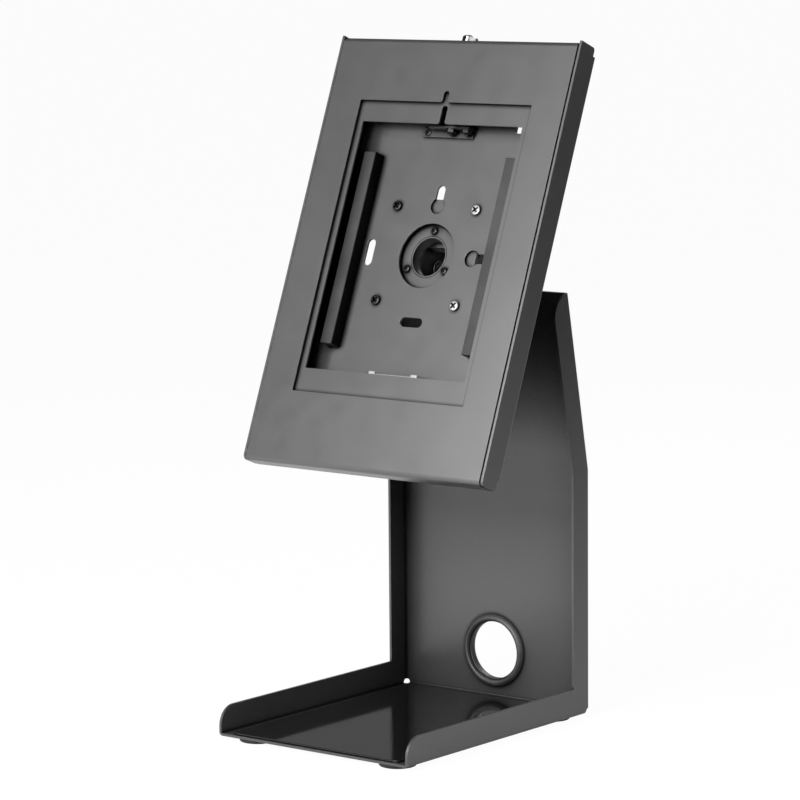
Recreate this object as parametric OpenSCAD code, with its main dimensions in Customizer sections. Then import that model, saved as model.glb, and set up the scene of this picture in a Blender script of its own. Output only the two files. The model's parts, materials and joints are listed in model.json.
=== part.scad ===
// Counter-top point of sale stand that holds a tablet in a lockable steel case.
// The case turns from portrait to landscape on a swivel, and a tilt head sets how far it leans.
// Origin: on the counter, under the centre of the stand's footprint.
// +X is to the right of the person who reads the screen, +Y is away from them and +Z is up.

/* [Stand] */
// Width of the stand over its side walls
stand_w = 180; // [170:1:220]
// Depth of the stand, from the front of the tray to the back of the post
stand_d = 227; // [200:1:260]
// Thickness of the stand's sheet steel
stand_sheet = 2; // [1.5:0.1:2.5]
// Outer radius of the bends along the stand's sides
stand_bend_r = 3; // [2.5:0.5:4]
// Outer radius of the bend between the tray and the post
base_bend_r = 4; // [3:0.5:6]
// Height of the tray's side walls
tray_wall_h = 22; // [16:1:35]
// Radius at the front of the tray's side walls
tray_wall_r = 15; // [8:1:16]
// Depth of the post's side walls
post_wall_d = 21; // [18:1:30]
// Radius at the top of the post's side walls
post_wall_r = 17.5; // [8:0.5:17.5]
// Height of the bend where the post starts to lean forward
post_lower_h = 190; // [160:1:240]
// Length of the leaning upper part of the post
post_upper_len = 140; // [120:1:170]
// Angle by which the upper part leans forward
post_lean = 10.8; // [6:0.1:15]
// Radius of the relief cut where three folds meet
corner_relief_r = 3.2; // [2:0.1:4]

/* [Tray liner and feet] */
// Thickness of the glossy liner sheet
liner_t = 1.5; // [1:0.1:3]
// Gap between the liner and the tray's side walls
liner_side_gap = 9; // [4:0.5:15]
// Gap between the liner and the tray's front edge
liner_front_gap = 2.5; // [1:0.5:10]
// Gap between the liner and the post
liner_back_gap = 7; // [4:0.5:15]
// Diameter of a rubber foot
foot_d = 28; // [18:1:34]
// Height of a rubber foot
foot_h = 4; // [3:0.5:10]
// Distance from the side of the stand to a foot's centre
foot_side = 23; // [18:1:35]
// Distance from the front or back of the stand to a foot's centre
foot_end = 18; // [18:1:35]

/* [Cable grommet] */
// Height of the grommet's centre above the underside of the tray
grommet_z = 39; // [36:1:70]
// Diameter of the grommet's opening
grommet_bore_d = 45; // [25:1:46]
// Diameter of the hole in the post that the grommet sits in
grommet_hole_d = 50; // [48:0.5:52]
// Diameter over the grommet's lips
grommet_lip_d = 58; // [56:1:64]
// Thickness of the front lip
grommet_front_t = 4; // [3:0.5:7]
// Thickness of the rear lip
grommet_rear_t = 4; // [3:0.5:7]

/* [Head bracket] */
// Distance from the post to the tilt pivot
pivot_out = 17.8; // [17:0.1:22]
// Height of the tilt pivot above the top of the post, along its lean
pivot_up = 17.6; // [15:0.1:24]
// Thickness of the bracket's steel
bracket_t = 3; // [2.5:0.1:3.5]
// Length of the bracket's base along the post
bracket_len = 44; // [40:1:60]
// Radius of the rounded ends round the tilt pivot
knuckle_r = 13; // [10:0.5:13.5]
// Diameter of the screws that hold the bracket
bracket_screw_d = 5; // [4:0.5:6]
// Distance between the bracket screws across the post
bracket_screw_x = 28; // [26:1:30]
// Distance between the bracket screws along the post
bracket_screw_z = 22; // [16:1:24]

/* [Tilt head and swivel] */
// Angle by which the screen leans back at rest
screen_lean = 21.7; // [5:0.1:45]
// Distance from the screen's front face to the tilt pivot
pivot_depth = 59; // [56:0.5:70]
// Diameter of the tilt bolts
pivot_bolt_d = 6; // [5:0.5:8]
// Free width between the two cheeks of the hub
hub_gap = 34; // [33:0.5:38]
// Thickness of each cheek of the hub
cheek_t = 6; // [4:0.5:6.5]
// Diameter of the opening for the tablet's cable
hub_bore_d = 30; // [24:1:31]
// Diameter of the spigot that the case turns on
spigot_d = 47; // [46:0.5:48]
// Diameter of the hub's flange
hub_flange_d = 66; // [64:1:66]
// Thickness of the hub's flange
hub_flange_t = 4.1; // [3:0.1:6]
// Outer diameter of the retaining ring
ring_d = 60; // [56:1:61]
// Thickness of the retaining ring
ring_t = 2; // [1.5:0.1:2.2]
// Distance from the back of the case to the front of the retaining ring
ring_set_back = 1.3; // [0.4:0.1:1.5]
// Radius of the circle that the three ring screws stand on
ring_screw_r = 20.5; // [19:0.1:20.5]
// Thickness of a friction washer
friction_t = 0.8; // [0.5:0.1:1]

/* [Case] */
// Width of the case
case_w = 228; // [215:1:250]
// Height of the case above the swivel axis
case_above = 165.6; // [160:0.1:180]
// Height of the case below the swivel axis
case_below = 174; // [168:0.1:190]
// Thickness of the back box's sheet
box_sheet = 2; // [1.5:0.1:2.2]
// Depth from the front face to the floor of the back box
bay_depth = 20; // [20:0.5:26]
// Outer radius of the back box's bends
box_bend_r = 3; // [2.5:0.5:3]
// Height by which the case's side walls stand above its front cover
side_wall_rise = 0.9; // [0:0.1:2]
// Depth of the case's top and bottom walls
cover_wall_d = 17.5; // [16:0.1:18]
// Thickness of the front cover's sheet
cover_sheet = 2; // [1.5:0.1:2.2]
// Outer radius of the front cover's bends
cover_bend_r = 4; // [3:0.5:5]
// Gap between the front cover and the left wall
cover_gap_left = 0.4; // [0.3:0.1:1.5]
// Gap between the front cover and the right wall
cover_gap_right = 1.3; // [0.3:0.1:1.5]

/* [Screen window] */
// Width of the window in the front cover
window_w = 163; // [150:1:164]
// Height of the window's top edge above the swivel axis
window_top = 115.2; // [110:0.1:118]
// Depth of the window's bottom edge below the swivel axis
window_bottom = 117.4; // [110:0.1:125]
// Width of the opening in the insert plate
insert_w = 151.8; // [140:0.1:152]
// Height of the opening in the insert plate
insert_h = 197.2; // [185:0.1:200]
// Thickness of the insert plate
insert_t = 1.5; // [1:0.1:2]
// Width of the camera slots
camera_slot_w = 5.1; // [4:0.1:9]
// Length of the camera slot above the window
camera_slot_cover = 8.9; // [6:0.1:12]
// Length of the camera slot above the insert plate's opening
camera_slot_insert = 14.4; // [10:0.1:16]
// Radius at the mouth of a camera slot
slot_mouth_r = 1.8; // [1:0.1:2.4]

/* [Back panel] */
// Spacing of the square mounting pattern
vesa_pitch = 75; // [74:0.5:76]
// Size of the square mounting plate
vesa_plate_w = 90; // [88:1:94]
// Thickness of the mounting plate
vesa_plate_t = 2.5; // [2:0.1:3]
// Diameter of the opening round the swivel
panel_hole_d = 51; // [49:0.5:54]
// Diameter of a keyhole's round end
keyhole_d = 13; // [11:0.5:13]
// Width of a keyhole's neck and of the oblong holes
keyhole_neck = 7.6; // [6:0.1:8]
// Length of the oblong holes
oblong_len = 21; // [16:1:26]
// Width of the opening for a rear camera
camera_hole_w = 28; // [20:1:30]
// Height of the opening for a rear camera
camera_hole_h = 20; // [14:1:24]
// Distance between the inner sides of the two spacer bars
bar_gap = 124; // [120:1:126]
// Width of a spacer bar
bar_w = 11; // [8:0.5:11]
// Height of a spacer bar
bar_t = 11.5; // [9:0.5:12]
// Length of a spacer bar
bar_len = 153; // [130:1:180]

/* [Lock] */
// Depth of the lock's axis behind the front face
lock_y = 13; // [12.6:0.1:13.2]
// Diameter of the lock's body
lock_body_d = 10; // [9:0.5:10.5]
// Diameter of the lock's rim
lock_rim_d = 12; // [12:0.5:14]
// Height of the lock's rim above the case
lock_rim_h = 6.1; // [3:0.1:8]
// Length of the lock's body under the rim
lock_body_len = 19; // [16:0.5:22]
// Length of the cam from the lock's axis to its tip
cam_len = 8.5; // [8:0.1:9]

/* [Clearances] */
// Radial play of a part that turns in a bore
running = 0.05; // [0.02:0.01:0.08]
// Radial play of a screw in a clearance hole
screw_play = 0.25; // [0.1:0.05:0.35]
// Gap between the front cover and the back box
cover_play = 0.5; // [0.4:0.05:0.8]

/* [Hidden] */
$fn = 64;
eps = 0.01;
arc_lap = 0.003;

// Colours
coat = "#3c3c3e";
gloss_black = "#161618";
rubber = "#202021";
zinc = "#c3c5c8";
black_oxide = "#1b1b1c";
nylon = "#dddcd6";

// The stand, measured from the underside of its tray
back_y = stand_d/2;
front_y = -stand_d/2;
wall_x = stand_w/2;
liner_corner_r = 4;
foot_edge_r = 1.5;
bend_flat = 1;
relief_in = stand_sheet + 0.3;

// Screw and nut sizes follow from the thread
bracket_head_d = 1.9*bracket_screw_d;
bracket_head_h = 0.55*bracket_screw_d;
bracket_nut_w = 1.6*bracket_screw_d;
bracket_nut_h = 0.8*bracket_screw_d;
bracket_screw_rise = 11;
tilt_head_d = 2.1*pivot_bolt_d;
tilt_head_h = 3.5;
tilt_nut_w = 10/6*pivot_bolt_d;
tilt_nut_h = 5;
tilt_washer_t = 1;
tilt_washer_gap = 0.1;
vesa_thread_d = 4;
vesa_head_d = 8;
vesa_head_h = 2.4;
vesa_screw_reach = 3;
ring_thread_d = 3;
ring_head_d = 6;
ring_head_h = 1.8;
ring_thread_len = 6;
hub_lip_t = 1.2;
hub_lip_gap = 0.3;
drive_w = 0.9;

// The tilt head, across the pivot
hub_x = hub_gap/2 + cheek_t;
ear_gap = 1;
ear_x = hub_x + ear_gap;
bracket_x = ear_x + bracket_t;
bracket_edge_r = bracket_t + 1;

// The swivel, as depths behind the front face
panel_back = bay_depth + box_sheet;
ring_y = panel_back + ring_set_back;
spigot_y = ring_y + ring_t;
dish_y = spigot_y + friction_t;
dish_back = dish_y + vesa_plate_t;
flange_y = dish_back + friction_t;
flange_back = flange_y + hub_flange_t;
dish_r = 31.5;
washer_w = 3;
stop_pin_r = 1.5;
stop_r = 29;
stop_play = 0.2;
web_t = 5.2;
web_rise = 3;
web_len = 15;
shoulder_past = 8;
shoulder_r = 4;
vesa_plate_corner_r = 5;

// The case, as depths behind the front face and heights from the swivel axis
wall_in = case_w/2 - box_sheet;
cover_left = -wall_in + cover_gap_left;
cover_right = wall_in - cover_gap_right;
box_top = case_above - cover_sheet - cover_play;
box_bottom = -case_below + cover_sheet + cover_play;
box_fold_top = case_above - 5.6;
box_fold_bottom = -case_below + 9;
box_flange_x = wall_in - 7;
box_flange_y = cover_sheet + 2;
wall_corner_r = 2.5;
window_corner_r = 1;
insert_corner_r = 4;
camera_corner_r = 2;
insert_back = cover_sheet + insert_t;
insert_margin = 14;
stud_d = 3;
stud_len = 6;
stud_x = window_w/2 + 6.5;
stud_z = 100;
insert_nut_w = 5.5;
insert_nut_h = 2.4;
hook_w = 20;
hook_h = 5.5;
hook_x = 60;
hook_reach = 8.2;
neck_len = 12.2;
keyhole_up = 39.5;
keyhole_side = 43;
oblong_down = vesa_pitch*0.7;
oblong_side = 54.7;
camera_hole_x = 57;
camera_hole_z = 99;

// Small brackets on the floor of the box
saddle_w = 46;
saddle_t = 1.2;
saddle_top = 7.5;
saddle_z = -95.9;
saddle_h = 10;
saddle_ear_w = 6;
saddle_ear_h = 1.7;
saddle_lug = 9;
bracket_wall_w = 38.8;
bracket_wall_h = 8.8;
bracket_plate_t = 1.5;
bracket_low_z = 93;
bracket_plate_h = 26;
bracket_wall_z = 98.5;
bracket_lug = 9;
bracket_left_lug_h = 7;
bracket_right_lug_h = 8;
bracket_bolt_x = [1, 16];
small_head_h = 2.6;
small_bolt_d = 4;
small_nut_w = 7;
small_nut_h = 3.2;
rivet_d = 3;
rivet_head_d = 5.6;
rivet_head_h = 1;

// The lock, as heights from the swivel axis
lock_rim_gap = 0.3;
lock_rim_z = case_above + lock_rim_gap;
lock_body_z = lock_rim_z - lock_body_len;
lock_plug_d = 7.1;
lock_nut_w = 12;
lock_nut_h = 5;
lock_notch_play = 0.4;
rim_bevel = 1.2;
key_slot_w = 1.1;
key_slot_len = 5;
key_slot_deep = 4;
plug_recess = 0.6;
cam_t = 2;
cam_w = 4.4;
cam_hub_d = 8;
cam_z = lock_body_z - 1 - cam_t;
cam_square = 4.2;
cam_thread_d = 4;
cam_nut_w = 7;
cam_nut_h = 3;
catch_t = 1.5;
catch_x = 5.5;
catch_end = lock_y + cam_w/2 + 0.3;
catch_lip = 2.5;
catch_base = 10;
catch_h = 14;
catch_slot_h = cam_t + 3;

// Puts a piece in the frame of the leaning upper part of the post.
// Local +Z runs up the post and local -Y points away from its outer face, towards the screen.
module post_frame() {
    translate([0, back_y, foot_h + post_lower_h])
        rotate([post_lean, 0, 0])
            children();
}

// Puts a piece in the frame of the screen.
// Local X and Z lie in the screen, from the swivel axis, and local Y is the depth behind its face.
module case_frame() {
    post_frame()
        translate([0, -stand_sheet - pivot_out, post_upper_len + pivot_up])
            rotate([-post_lean - screen_lean, 0, 0])
                translate([0, -pivot_depth, 0])
                    children();
}

// Extrudes an outline drawn in Y and Z along X, centred.
module along_x(length) {
    rotate([90, 0, 90])
        linear_extrude(length, center = true)
            children();
}

// Extrudes an outline drawn in X and Z from depth y0 towards the back.
module panel(y0, t) {
    translate([0, y0 + t, 0])
        rotate([90, 0, 0])
            linear_extrude(t)
                children();
}

// A round bar along Y, from depth y0 to depth y1.
module rod_y(d, y0, y1) {
    translate([0, y0, 0])
        rotate([-90, 0, 0])
            cylinder(d = d, h = y1 - y0);
}

// A round bar along X, from x0 to x1.
module rod_x(d, x0, x1) {
    translate([x0, 0, 0])
        rotate([0, 90, 0])
            cylinder(d = d, h = x1 - x0);
}

// A rectangle with rounded corners, centred.
module round_rect(w, h, r) {
    square([w - 2*r, h], center = true);
    square([w, h - 2*r], center = true);
    for (x = [-1, 1], y = [-1, 1])
        translate([x*(w/2 - r), y*(h/2 - r)])
            circle(r);
}

// A slot with round ends along X, centred.
module oblong(length, w) {
    square([length - w, w], center = true);
    for (x = [-1, 1])
        translate([x*(length - w)/2, 0])
            circle(d = w);
}

// What is cut from a sharp corner at the origin to leave a radius. The material is at +X, +Y.
// The arc reaches arc_lap past both faces, so that it crosses them instead of only touching them.
module corner_cut(r) {
    difference() {
        translate([-1, -1])
            square(r + 1);
        translate([r, r])
            circle(r + arc_lap);
    }
}

// A regular hexagon, sized across its flats, with corners on the X axis.
module hexagon(across) {
    circle(d = across/cos(30), $fn = 6);
}

// The cross-shaped drive of a screw, cut from the top of a head whose axis is Z.
module cross_drive(size, depth) {
    translate([0, 0, -depth])
        linear_extrude(depth + 1) {
            square([size, drive_w], center = true);
            square([drive_w, size], center = true);
        }
}

// A pan-head screw along Z. The head's underside is at the origin and the shank points to -Z.
module pan_screw(head_d, head_h, shank_d, length) {
    difference() {
        union() {
            cylinder(d = head_d, h = head_h*0.55);
            translate([0, 0, head_h*0.55])
                cylinder(d1 = head_d, d2 = head_d*0.72, h = head_h*0.45);
        }
        translate([0, 0, head_h])
            cross_drive(head_d*0.58, head_h*0.6);
    }
    translate([0, 0, -length])
        cylinder(d = shank_d, h = length + eps);
}

// A hexagon nut along Z with its lower face at the origin.
module hex_nut(across, h, bore_d) {
    difference() {
        linear_extrude(h)
            hexagon(across);
        translate([0, 0, -1])
            cylinder(d = bore_d, h = h + 2);
    }
}

// The point where a line from p touches the circle round c, on the side given by s.
function touch_point(p, c, r, s) =
    let (v = p - c, a = atan2(v[1], v[0]) + s*acos(r/norm(v)))
    c + r*[cos(a), sin(a)];

// Side view of the stand's side walls: an L that leans forward above the bend.
module stand_outline() {
    up = [-sin(post_lean), cos(post_lean)];
    bend = [back_y, post_lower_h];
    rear_top = bend + post_upper_len*up;
    front_top = rear_top - post_wall_d*[cos(post_lean), sin(post_lean)];
    inner_bend = [back_y - post_wall_d, post_lower_h - post_wall_d*tan(post_lean/2)];
    difference() {
        polygon([[front_y, 0], [back_y, 0], bend - [0, bend_flat], bend + bend_flat*up, rear_top,
            front_top, inner_bend, [back_y - post_wall_d, tray_wall_h], [front_y, tray_wall_h]]);
        translate([back_y, 0])
            mirror([1, 0])
                corner_cut(base_bend_r);
        translate([front_y, tray_wall_h])
            mirror([0, 1])
                corner_cut(tray_wall_r);
        translate(front_top)
            rotate(post_lean)
                mirror([0, 1])
                    corner_cut(post_wall_r);
    }
}

// Side view of the space between the stand's side walls.
module stand_hollow() {
    mitre = post_lower_h - stand_sheet*tan(post_lean/2);
    top = post_upper_len + 10;
    difference() {
        polygon([[front_y - 1, stand_sheet], [back_y - stand_sheet, stand_sheet],
            [back_y - stand_sheet, mitre],
            [back_y - stand_sheet - top*sin(post_lean), mitre + top*cos(post_lean)],
            [front_y - 1, mitre + top*cos(post_lean)]]);
        translate([back_y - stand_sheet, stand_sheet])
            mirror([1, 0])
                corner_cut(base_bend_r - stand_sheet);
    }
}

// Four places of the bracket screws, in the frame of the post.
module bracket_screw_places() {
    for (x = [-1, 1], z = [0, 1])
        translate([x*bracket_screw_x/2, 0, post_upper_len - bracket_screw_rise - z*bracket_screw_z])
            children();
}

module stand_frame() color(coat) {
    difference() {
        translate([0, 0, foot_h])
            difference() {
                along_x(stand_w)
                    stand_outline();
                along_x(stand_w - 2*stand_sheet)
                    stand_hollow();
                for (x = [0, 1]) {
                    mirror([x, 0, 0])
                        panel(front_y - 1, stand_d + 2)
                            translate([-wall_x, 0])
                                corner_cut(stand_bend_r);
                    mirror([x, 0, 0])
                        translate([0, 0, -1])
                            linear_extrude(post_lower_h + stand_bend_r)
                                translate([-wall_x, back_y])
                                    mirror([0, 1])
                                        corner_cut(stand_bend_r);
                    translate([(1 - 2*x)*(wall_x - relief_in), back_y - relief_in, stand_sheet])
                        sphere(corner_relief_r);
                }
                translate([0, 0, grommet_z])
                    rod_y(grommet_hole_d, back_y - stand_sheet - 1, back_y + 1);
            }
        post_frame() {
            for (x = [0, 1])
                mirror([x, 0, 0])
                    translate([0, 0, -stand_bend_r])
                        linear_extrude(post_upper_len + stand_bend_r + 1)
                            translate([-wall_x, 0])
                                mirror([0, 1])
                                    corner_cut(stand_bend_r);
            bracket_screw_places()
                rod_y(bracket_screw_d + 2*screw_play, -stand_sheet - 1, 1);
        }
    }
}

module tray_liner() color(gloss_black) {
    w = stand_w - 2*stand_sheet - 2*liner_side_gap;
    d = stand_d - stand_sheet - liner_front_gap - liner_back_gap;
    translate([0, front_y + liner_front_gap + d/2, foot_h + stand_sheet])
        linear_extrude(liner_t)
            round_rect(w, d, liner_corner_r);
}

// A round rubber foot at the front or back (y is -1 or 1), left or right (x is -1 or 1).
module foot(x, y) color(rubber) {
    r = foot_d/2;
    edge = foot_edge_r;
    translate([x*(wall_x - foot_side), y*(back_y - foot_end), 0])
        rotate_extrude() {
            square([r - edge, foot_h]);
            translate([0, edge])
                square([r, foot_h - edge]);
            translate([r - edge, edge])
                circle(edge);
        }
}

module foot_front_left() foot(-1, -1);
module foot_front_right() foot(1, -1);
module foot_rear_left() foot(-1, 1);
module foot_rear_right() foot(1, 1);

// One lip of the grommet as a section: a rounded band from radius r0 to r1, from 0 to -t.
module lip_section(r0, r1, t) {
    edge = min(t, r1 - r0)/2;
    translate([r0, -t + edge])
        square([r1 - r0, t - edge]);
    translate([r0 + edge, -t])
        square([r1 - r0 - 2*edge, t]);
    for (r = [r0 + edge, r1 - edge])
        translate([r, -t + edge])
            circle(edge);
}

module cable_grommet() color(rubber) {
    bore_r = grommet_bore_d/2;
    lip_r = grommet_lip_d/2;
    translate([0, back_y - stand_sheet, foot_h + grommet_z])
        rotate([-90, 0, 0])
            rotate_extrude() {
                lip_section(bore_r, lip_r, grommet_front_t);
                translate([bore_r, -eps])
                    square([grommet_hole_d/2 - 0.1 - bore_r, stand_sheet + 2*eps]);
                translate([0, stand_sheet])
                    mirror([0, 1])
                        lip_section(bore_r, lip_r, grommet_rear_t);
            }
}

module head_bracket() color(coat) {
    centre = [-stand_sheet - pivot_out, post_upper_len + pivot_up];
    foot_z = post_upper_len - bracket_len;
    rear_top = [-stand_sheet, post_upper_len];
    front_low = [-stand_sheet - bracket_t, foot_z];
    post_frame()
        difference() {
            union() {
                for (x = [-1, 1])
                    translate([x*(ear_x + bracket_t/2), 0, 0])
                        along_x(bracket_t) {
                            translate(centre)
                                circle(knuckle_r);
                            polygon([centre, touch_point(front_low, centre, knuckle_r, -1), front_low,
                                [-stand_sheet, foot_z], rear_top,
                                touch_point(rear_top, centre, knuckle_r, 1)]);
                        }
                translate([-bracket_x, -stand_sheet - bracket_t, foot_z])
                    cube([2*bracket_x, bracket_t, bracket_len]);
            }
            for (x = [0, 1])
                mirror([x, 0, 0])
                    translate([0, 0, foot_z - 1])
                        linear_extrude(bracket_len + 2)
                            translate([-bracket_x, -stand_sheet])
                                mirror([0, 1])
                                    corner_cut(bracket_edge_r);
            bracket_screw_places()
                rod_y(bracket_screw_d + 2*screw_play, -stand_sheet - bracket_t - 1, 1);
            translate([0, centre[0], centre[1]])
                rod_x(pivot_bolt_d + 2*running, -bracket_x - 1, bracket_x + 1);
        }
}

module bracket_screws() color(black_oxide) {
    length = stand_sheet + bracket_t + bracket_nut_h + 1;
    post_frame()
        bracket_screw_places()
            rotate([-90, 0, 0])
                pan_screw(bracket_head_d, bracket_head_h, bracket_screw_d, length);
}

module bracket_nuts() color(zinc) {
    post_frame()
        bracket_screw_places()
            translate([0, -stand_sheet - bracket_t, 0])
                rotate([90, 0, 0])
                    hex_nut(bracket_nut_w, bracket_nut_h, bracket_screw_d + 2*running);
}

// Puts a piece at the tilt pivot, once on each side, with local +Z pointing outwards.
module pivot_sides() {
    post_frame()
        translate([0, -stand_sheet - pivot_out, post_upper_len + pivot_up])
            for (x = [-1, 1])
                rotate([0, 90*x, 0])
                    children();
}

module tilt_bolts() color(black_oxide) {
    inner = hub_gap/2 - tilt_washer_t - tilt_nut_h - 1;
    pivot_sides() {
        translate([0, 0, inner])
            cylinder(d = pivot_bolt_d, h = bracket_x - inner + eps);
        translate([0, 0, bracket_x])
            difference() {
                cylinder(d = tilt_head_d, h = tilt_head_h);
                translate([0, 0, tilt_head_h/2])
                    linear_extrude(tilt_head_h)
                        hexagon(pivot_bolt_d*2/3);
            }
    }
}

module tilt_nuts() color(black_oxide) {
    pivot_sides()
        translate([0, 0, hub_gap/2 - tilt_washer_t - tilt_nut_h])
            hex_nut(tilt_nut_w, tilt_nut_h, pivot_bolt_d + 2*running);
}

// A flat washer along Z with its lower face at the origin.
module washer(outer_d, bore_d, t) {
    difference() {
        cylinder(d = outer_d, h = t);
        translate([0, 0, -1])
            cylinder(d = bore_d, h = t + 2);
    }
}

module tilt_spring_washers() color(zinc) {
    pivot_sides()
        translate([0, 0, hub_gap/2 - tilt_washer_t])
            washer(tilt_nut_w*1.3, pivot_bolt_d + 2*running, tilt_washer_t - tilt_washer_gap);
}

module tilt_friction_washers() color(nylon) {
    pivot_sides()
        translate([0, 0, hub_x])
            washer(2*knuckle_r - 4, pivot_bolt_d + 2*running, ear_gap);
}

// Three places of the ring screws, at the top and a third of a turn to each side.
module ring_screw_places() {
    for (i = [0:2])
        rotate([0, 120*i, 0])
            translate([0, 0, ring_screw_r])
                children();
}

// The straight upper part of a hub cheek, which ends in a rounded corner just past the pivot.
module cheek_shoulder() {
    length = pivot_depth + shoulder_past - flange_back + eps;
    translate([flange_back - eps, 0])
        difference() {
            square([length, knuckle_r + web_rise]);
            translate([length, knuckle_r + web_rise])
                rotate(180)
                    corner_cut(shoulder_r);
        }
}

module swivel_hub() color(coat) {
    case_frame()
        difference() {
            union() {
                rod_y(hub_bore_d + 2*hub_lip_t, ring_y, spigot_y + eps);
                rod_y(spigot_d, spigot_y, flange_y + eps);
                rod_y(hub_flange_d, flange_y, flange_back);
                for (x = [-1, 1])
                    translate([x*(hub_gap + cheek_t)/2, 0, 0])
                        along_x(cheek_t) {
                            translate([pivot_depth, 0])
                                circle(knuckle_r);
                            translate([flange_back - eps, -knuckle_r])
                                square([pivot_depth - flange_back + eps, 2*knuckle_r]);
                            cheek_shoulder();
                        }
                translate([-hub_x, flange_back - eps, knuckle_r + web_rise - web_t])
                    cube([2*hub_x, web_len, web_t]);
            }
            rod_y(hub_bore_d, ring_y - 1, flange_back + 1);
            ring_screw_places()
                rod_y(ring_thread_d, spigot_y - 1, spigot_y + ring_thread_len);
            translate([0, 0, stop_r])
                rod_y(2*(stop_pin_r + running), flange_y - 1, flange_back + 1);
            translate([0, pivot_depth, 0])
                rod_x(pivot_bolt_d + 2*running, -hub_x - 1, hub_x + 1);
        }
}

module retaining_ring() color(coat) {
    case_frame()
        difference() {
            rod_y(ring_d, ring_y, spigot_y);
            rod_y(hub_bore_d + 2*(hub_lip_t + hub_lip_gap), ring_y - 1, spigot_y + 1);
            ring_screw_places()
                rod_y(ring_thread_d + 2*screw_play, ring_y - 1, spigot_y + 1);
        }
}

module ring_screws() color(black_oxide) {
    case_frame()
        ring_screw_places()
            translate([0, ring_y, 0])
                rotate([90, 0, 0])
                    pan_screw(ring_head_d, ring_head_h, ring_thread_d - 2*running,
                        ring_t + ring_thread_len - 1);
}

// A friction washer of the swivel, in front of the dish floor or behind it.
module swivel_washer(y0) color(nylon) {
    case_frame()
        translate([0, y0, 0])
            rotate([-90, 0, 0])
                washer(spigot_d + 2*(washer_w + 2*running), spigot_d + 4*running, friction_t);
}

module front_swivel_washer() swivel_washer(spigot_y);
module rear_swivel_washer() swivel_washer(dish_back);

module swivel_stop_pin() color(zinc) {
    case_frame()
        translate([0, 0, stop_r])
            rod_y(2*stop_pin_r, dish_y + 0.3, flange_back);
}

// The four corners of the square mounting pattern, on the sides named in xs.
module vesa_places(xs) {
    for (x = xs, z = [-1, 1])
        translate([x*vesa_pitch/2, 0, z*vesa_pitch/2])
            children();
}

// A half-turn slot that the stop pin runs in while the case turns from side to side.
module stop_slot() {
    slot_w = 2*(stop_pin_r + stop_play);
    translate([0, dish_y - 1, 0])
        rotate([-90, 0, 0]) {
            rotate([0, 0, 180])
                rotate_extrude(angle = 180)
                    translate([stop_r - slot_w/2, 0])
                        square([slot_w, vesa_plate_t + 2]);
            for (x = [-1, 1])
                translate([x*stop_r, 0, 0])
                    cylinder(d = slot_w, h = vesa_plate_t + 2);
        }
}

module vesa_plate() color(coat) {
    case_frame()
        difference() {
            union() {
                panel(panel_back, vesa_plate_t)
                    round_rect(vesa_plate_w, vesa_plate_w, vesa_plate_corner_r);
                rod_y(2*(dish_r + vesa_plate_t), panel_back, dish_back);
            }
            rod_y(2*dish_r, panel_back - 1, dish_y);
            rod_y(spigot_d + 2*running, dish_y - 1, dish_back + 1);
            stop_slot();
            vesa_places([-1, 1])
                rod_y(vesa_thread_d, panel_back - 1, panel_back + vesa_plate_t + 1);
        }
}

// Screws of the mounting pattern, on the sides named in xs.
module vesa_screws(xs) {
    case_frame()
        vesa_places(xs)
            translate([0, bay_depth, 0])
                rotate([90, 0, 0])
                    pan_screw(vesa_head_d, vesa_head_h, vesa_thread_d - 2*running,
                        box_sheet + vesa_plate_t + vesa_screw_reach);
}

module black_vesa_screws() color(black_oxide) vesa_screws([-1]);
module zinc_vesa_screws() color(zinc) vesa_screws([1]);

// A folded channel as a section in Y and Z: a face at depth y0 with both edges turned to depth y1.
module channel_section(y0, y1, z0, z1, sheet, r) {
    s = y1 > y0 ? 1 : -1;
    depth = abs(y1 - y0);
    translate([y0, z0])
        scale([s, 1])
            difference() {
                channel_solid(depth, z1 - z0, r);
                translate([sheet, sheet])
                    channel_solid(depth, z1 - z0 - 2*sheet, max(r - sheet, 0.2));
            }
}

// A rectangle from the origin whose two corners on the Y = 0 side are rounded.
module channel_solid(depth, h, r) {
    translate([r, 0])
        square([depth - r, h]);
    translate([0, r])
        square([depth, h - 2*r]);
    for (z = [r, h - r])
        translate([r, z])
            circle(r);
}

// Side view of one side wall of the back box. Its corners are rounded, but for the top front one.
module box_wall_outline() {
    h = case_above + side_wall_rise + case_below;
    translate([0, -case_below])
        difference() {
            square([cover_wall_d, h]);
            corner_cut(cover_bend_r);
            translate([cover_wall_d, 0])
                mirror([1, 0])
                    corner_cut(wall_corner_r);
            translate([cover_wall_d, h])
                rotate(180)
                    corner_cut(wall_corner_r);
        }
}

// A slot for a camera above the upper edge of an opening at height z, with a rounded mouth.
module camera_slot(z, length) {
    translate([0, z]) {
        rotate(90)
            oblong(2*length, camera_slot_w);
        for (x = [0, 1])
            mirror([x, 0])
                translate([camera_slot_w/2, 0])
                    corner_cut(slot_mouth_r);
    }
}

// The openings of the back panel, in X and Z.
module panel_openings() {
    circle(d = panel_hole_d);
    translate([0, keyhole_up]) {
        circle(d = keyhole_d);
        translate([0, neck_len/2])
            rotate(90)
                oblong(neck_len + keyhole_neck, keyhole_neck);
    }
    translate([keyhole_side, 0]) {
        circle(d = keyhole_d);
        translate([neck_len/2, 0])
            oblong(neck_len + keyhole_neck, keyhole_neck);
    }
    translate([0, -oblong_down])
        oblong(oblong_len, keyhole_neck);
    translate([-oblong_side, 0])
        rotate(90)
            oblong(oblong_len, keyhole_neck);
    translate([camera_hole_x + camera_hole_w/2, camera_hole_z + camera_hole_h/2])
        round_rect(camera_hole_w, camera_hole_h, camera_corner_r);
    for (x = [-1, 1], z = [-1, 1])
        translate([x*vesa_pitch/2, z*vesa_pitch/2])
            circle(d = vesa_thread_d + 2*screw_play);
    for (p = rivet_places)
        translate(p)
            circle(d = rivet_d + 2*running);
}

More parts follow.
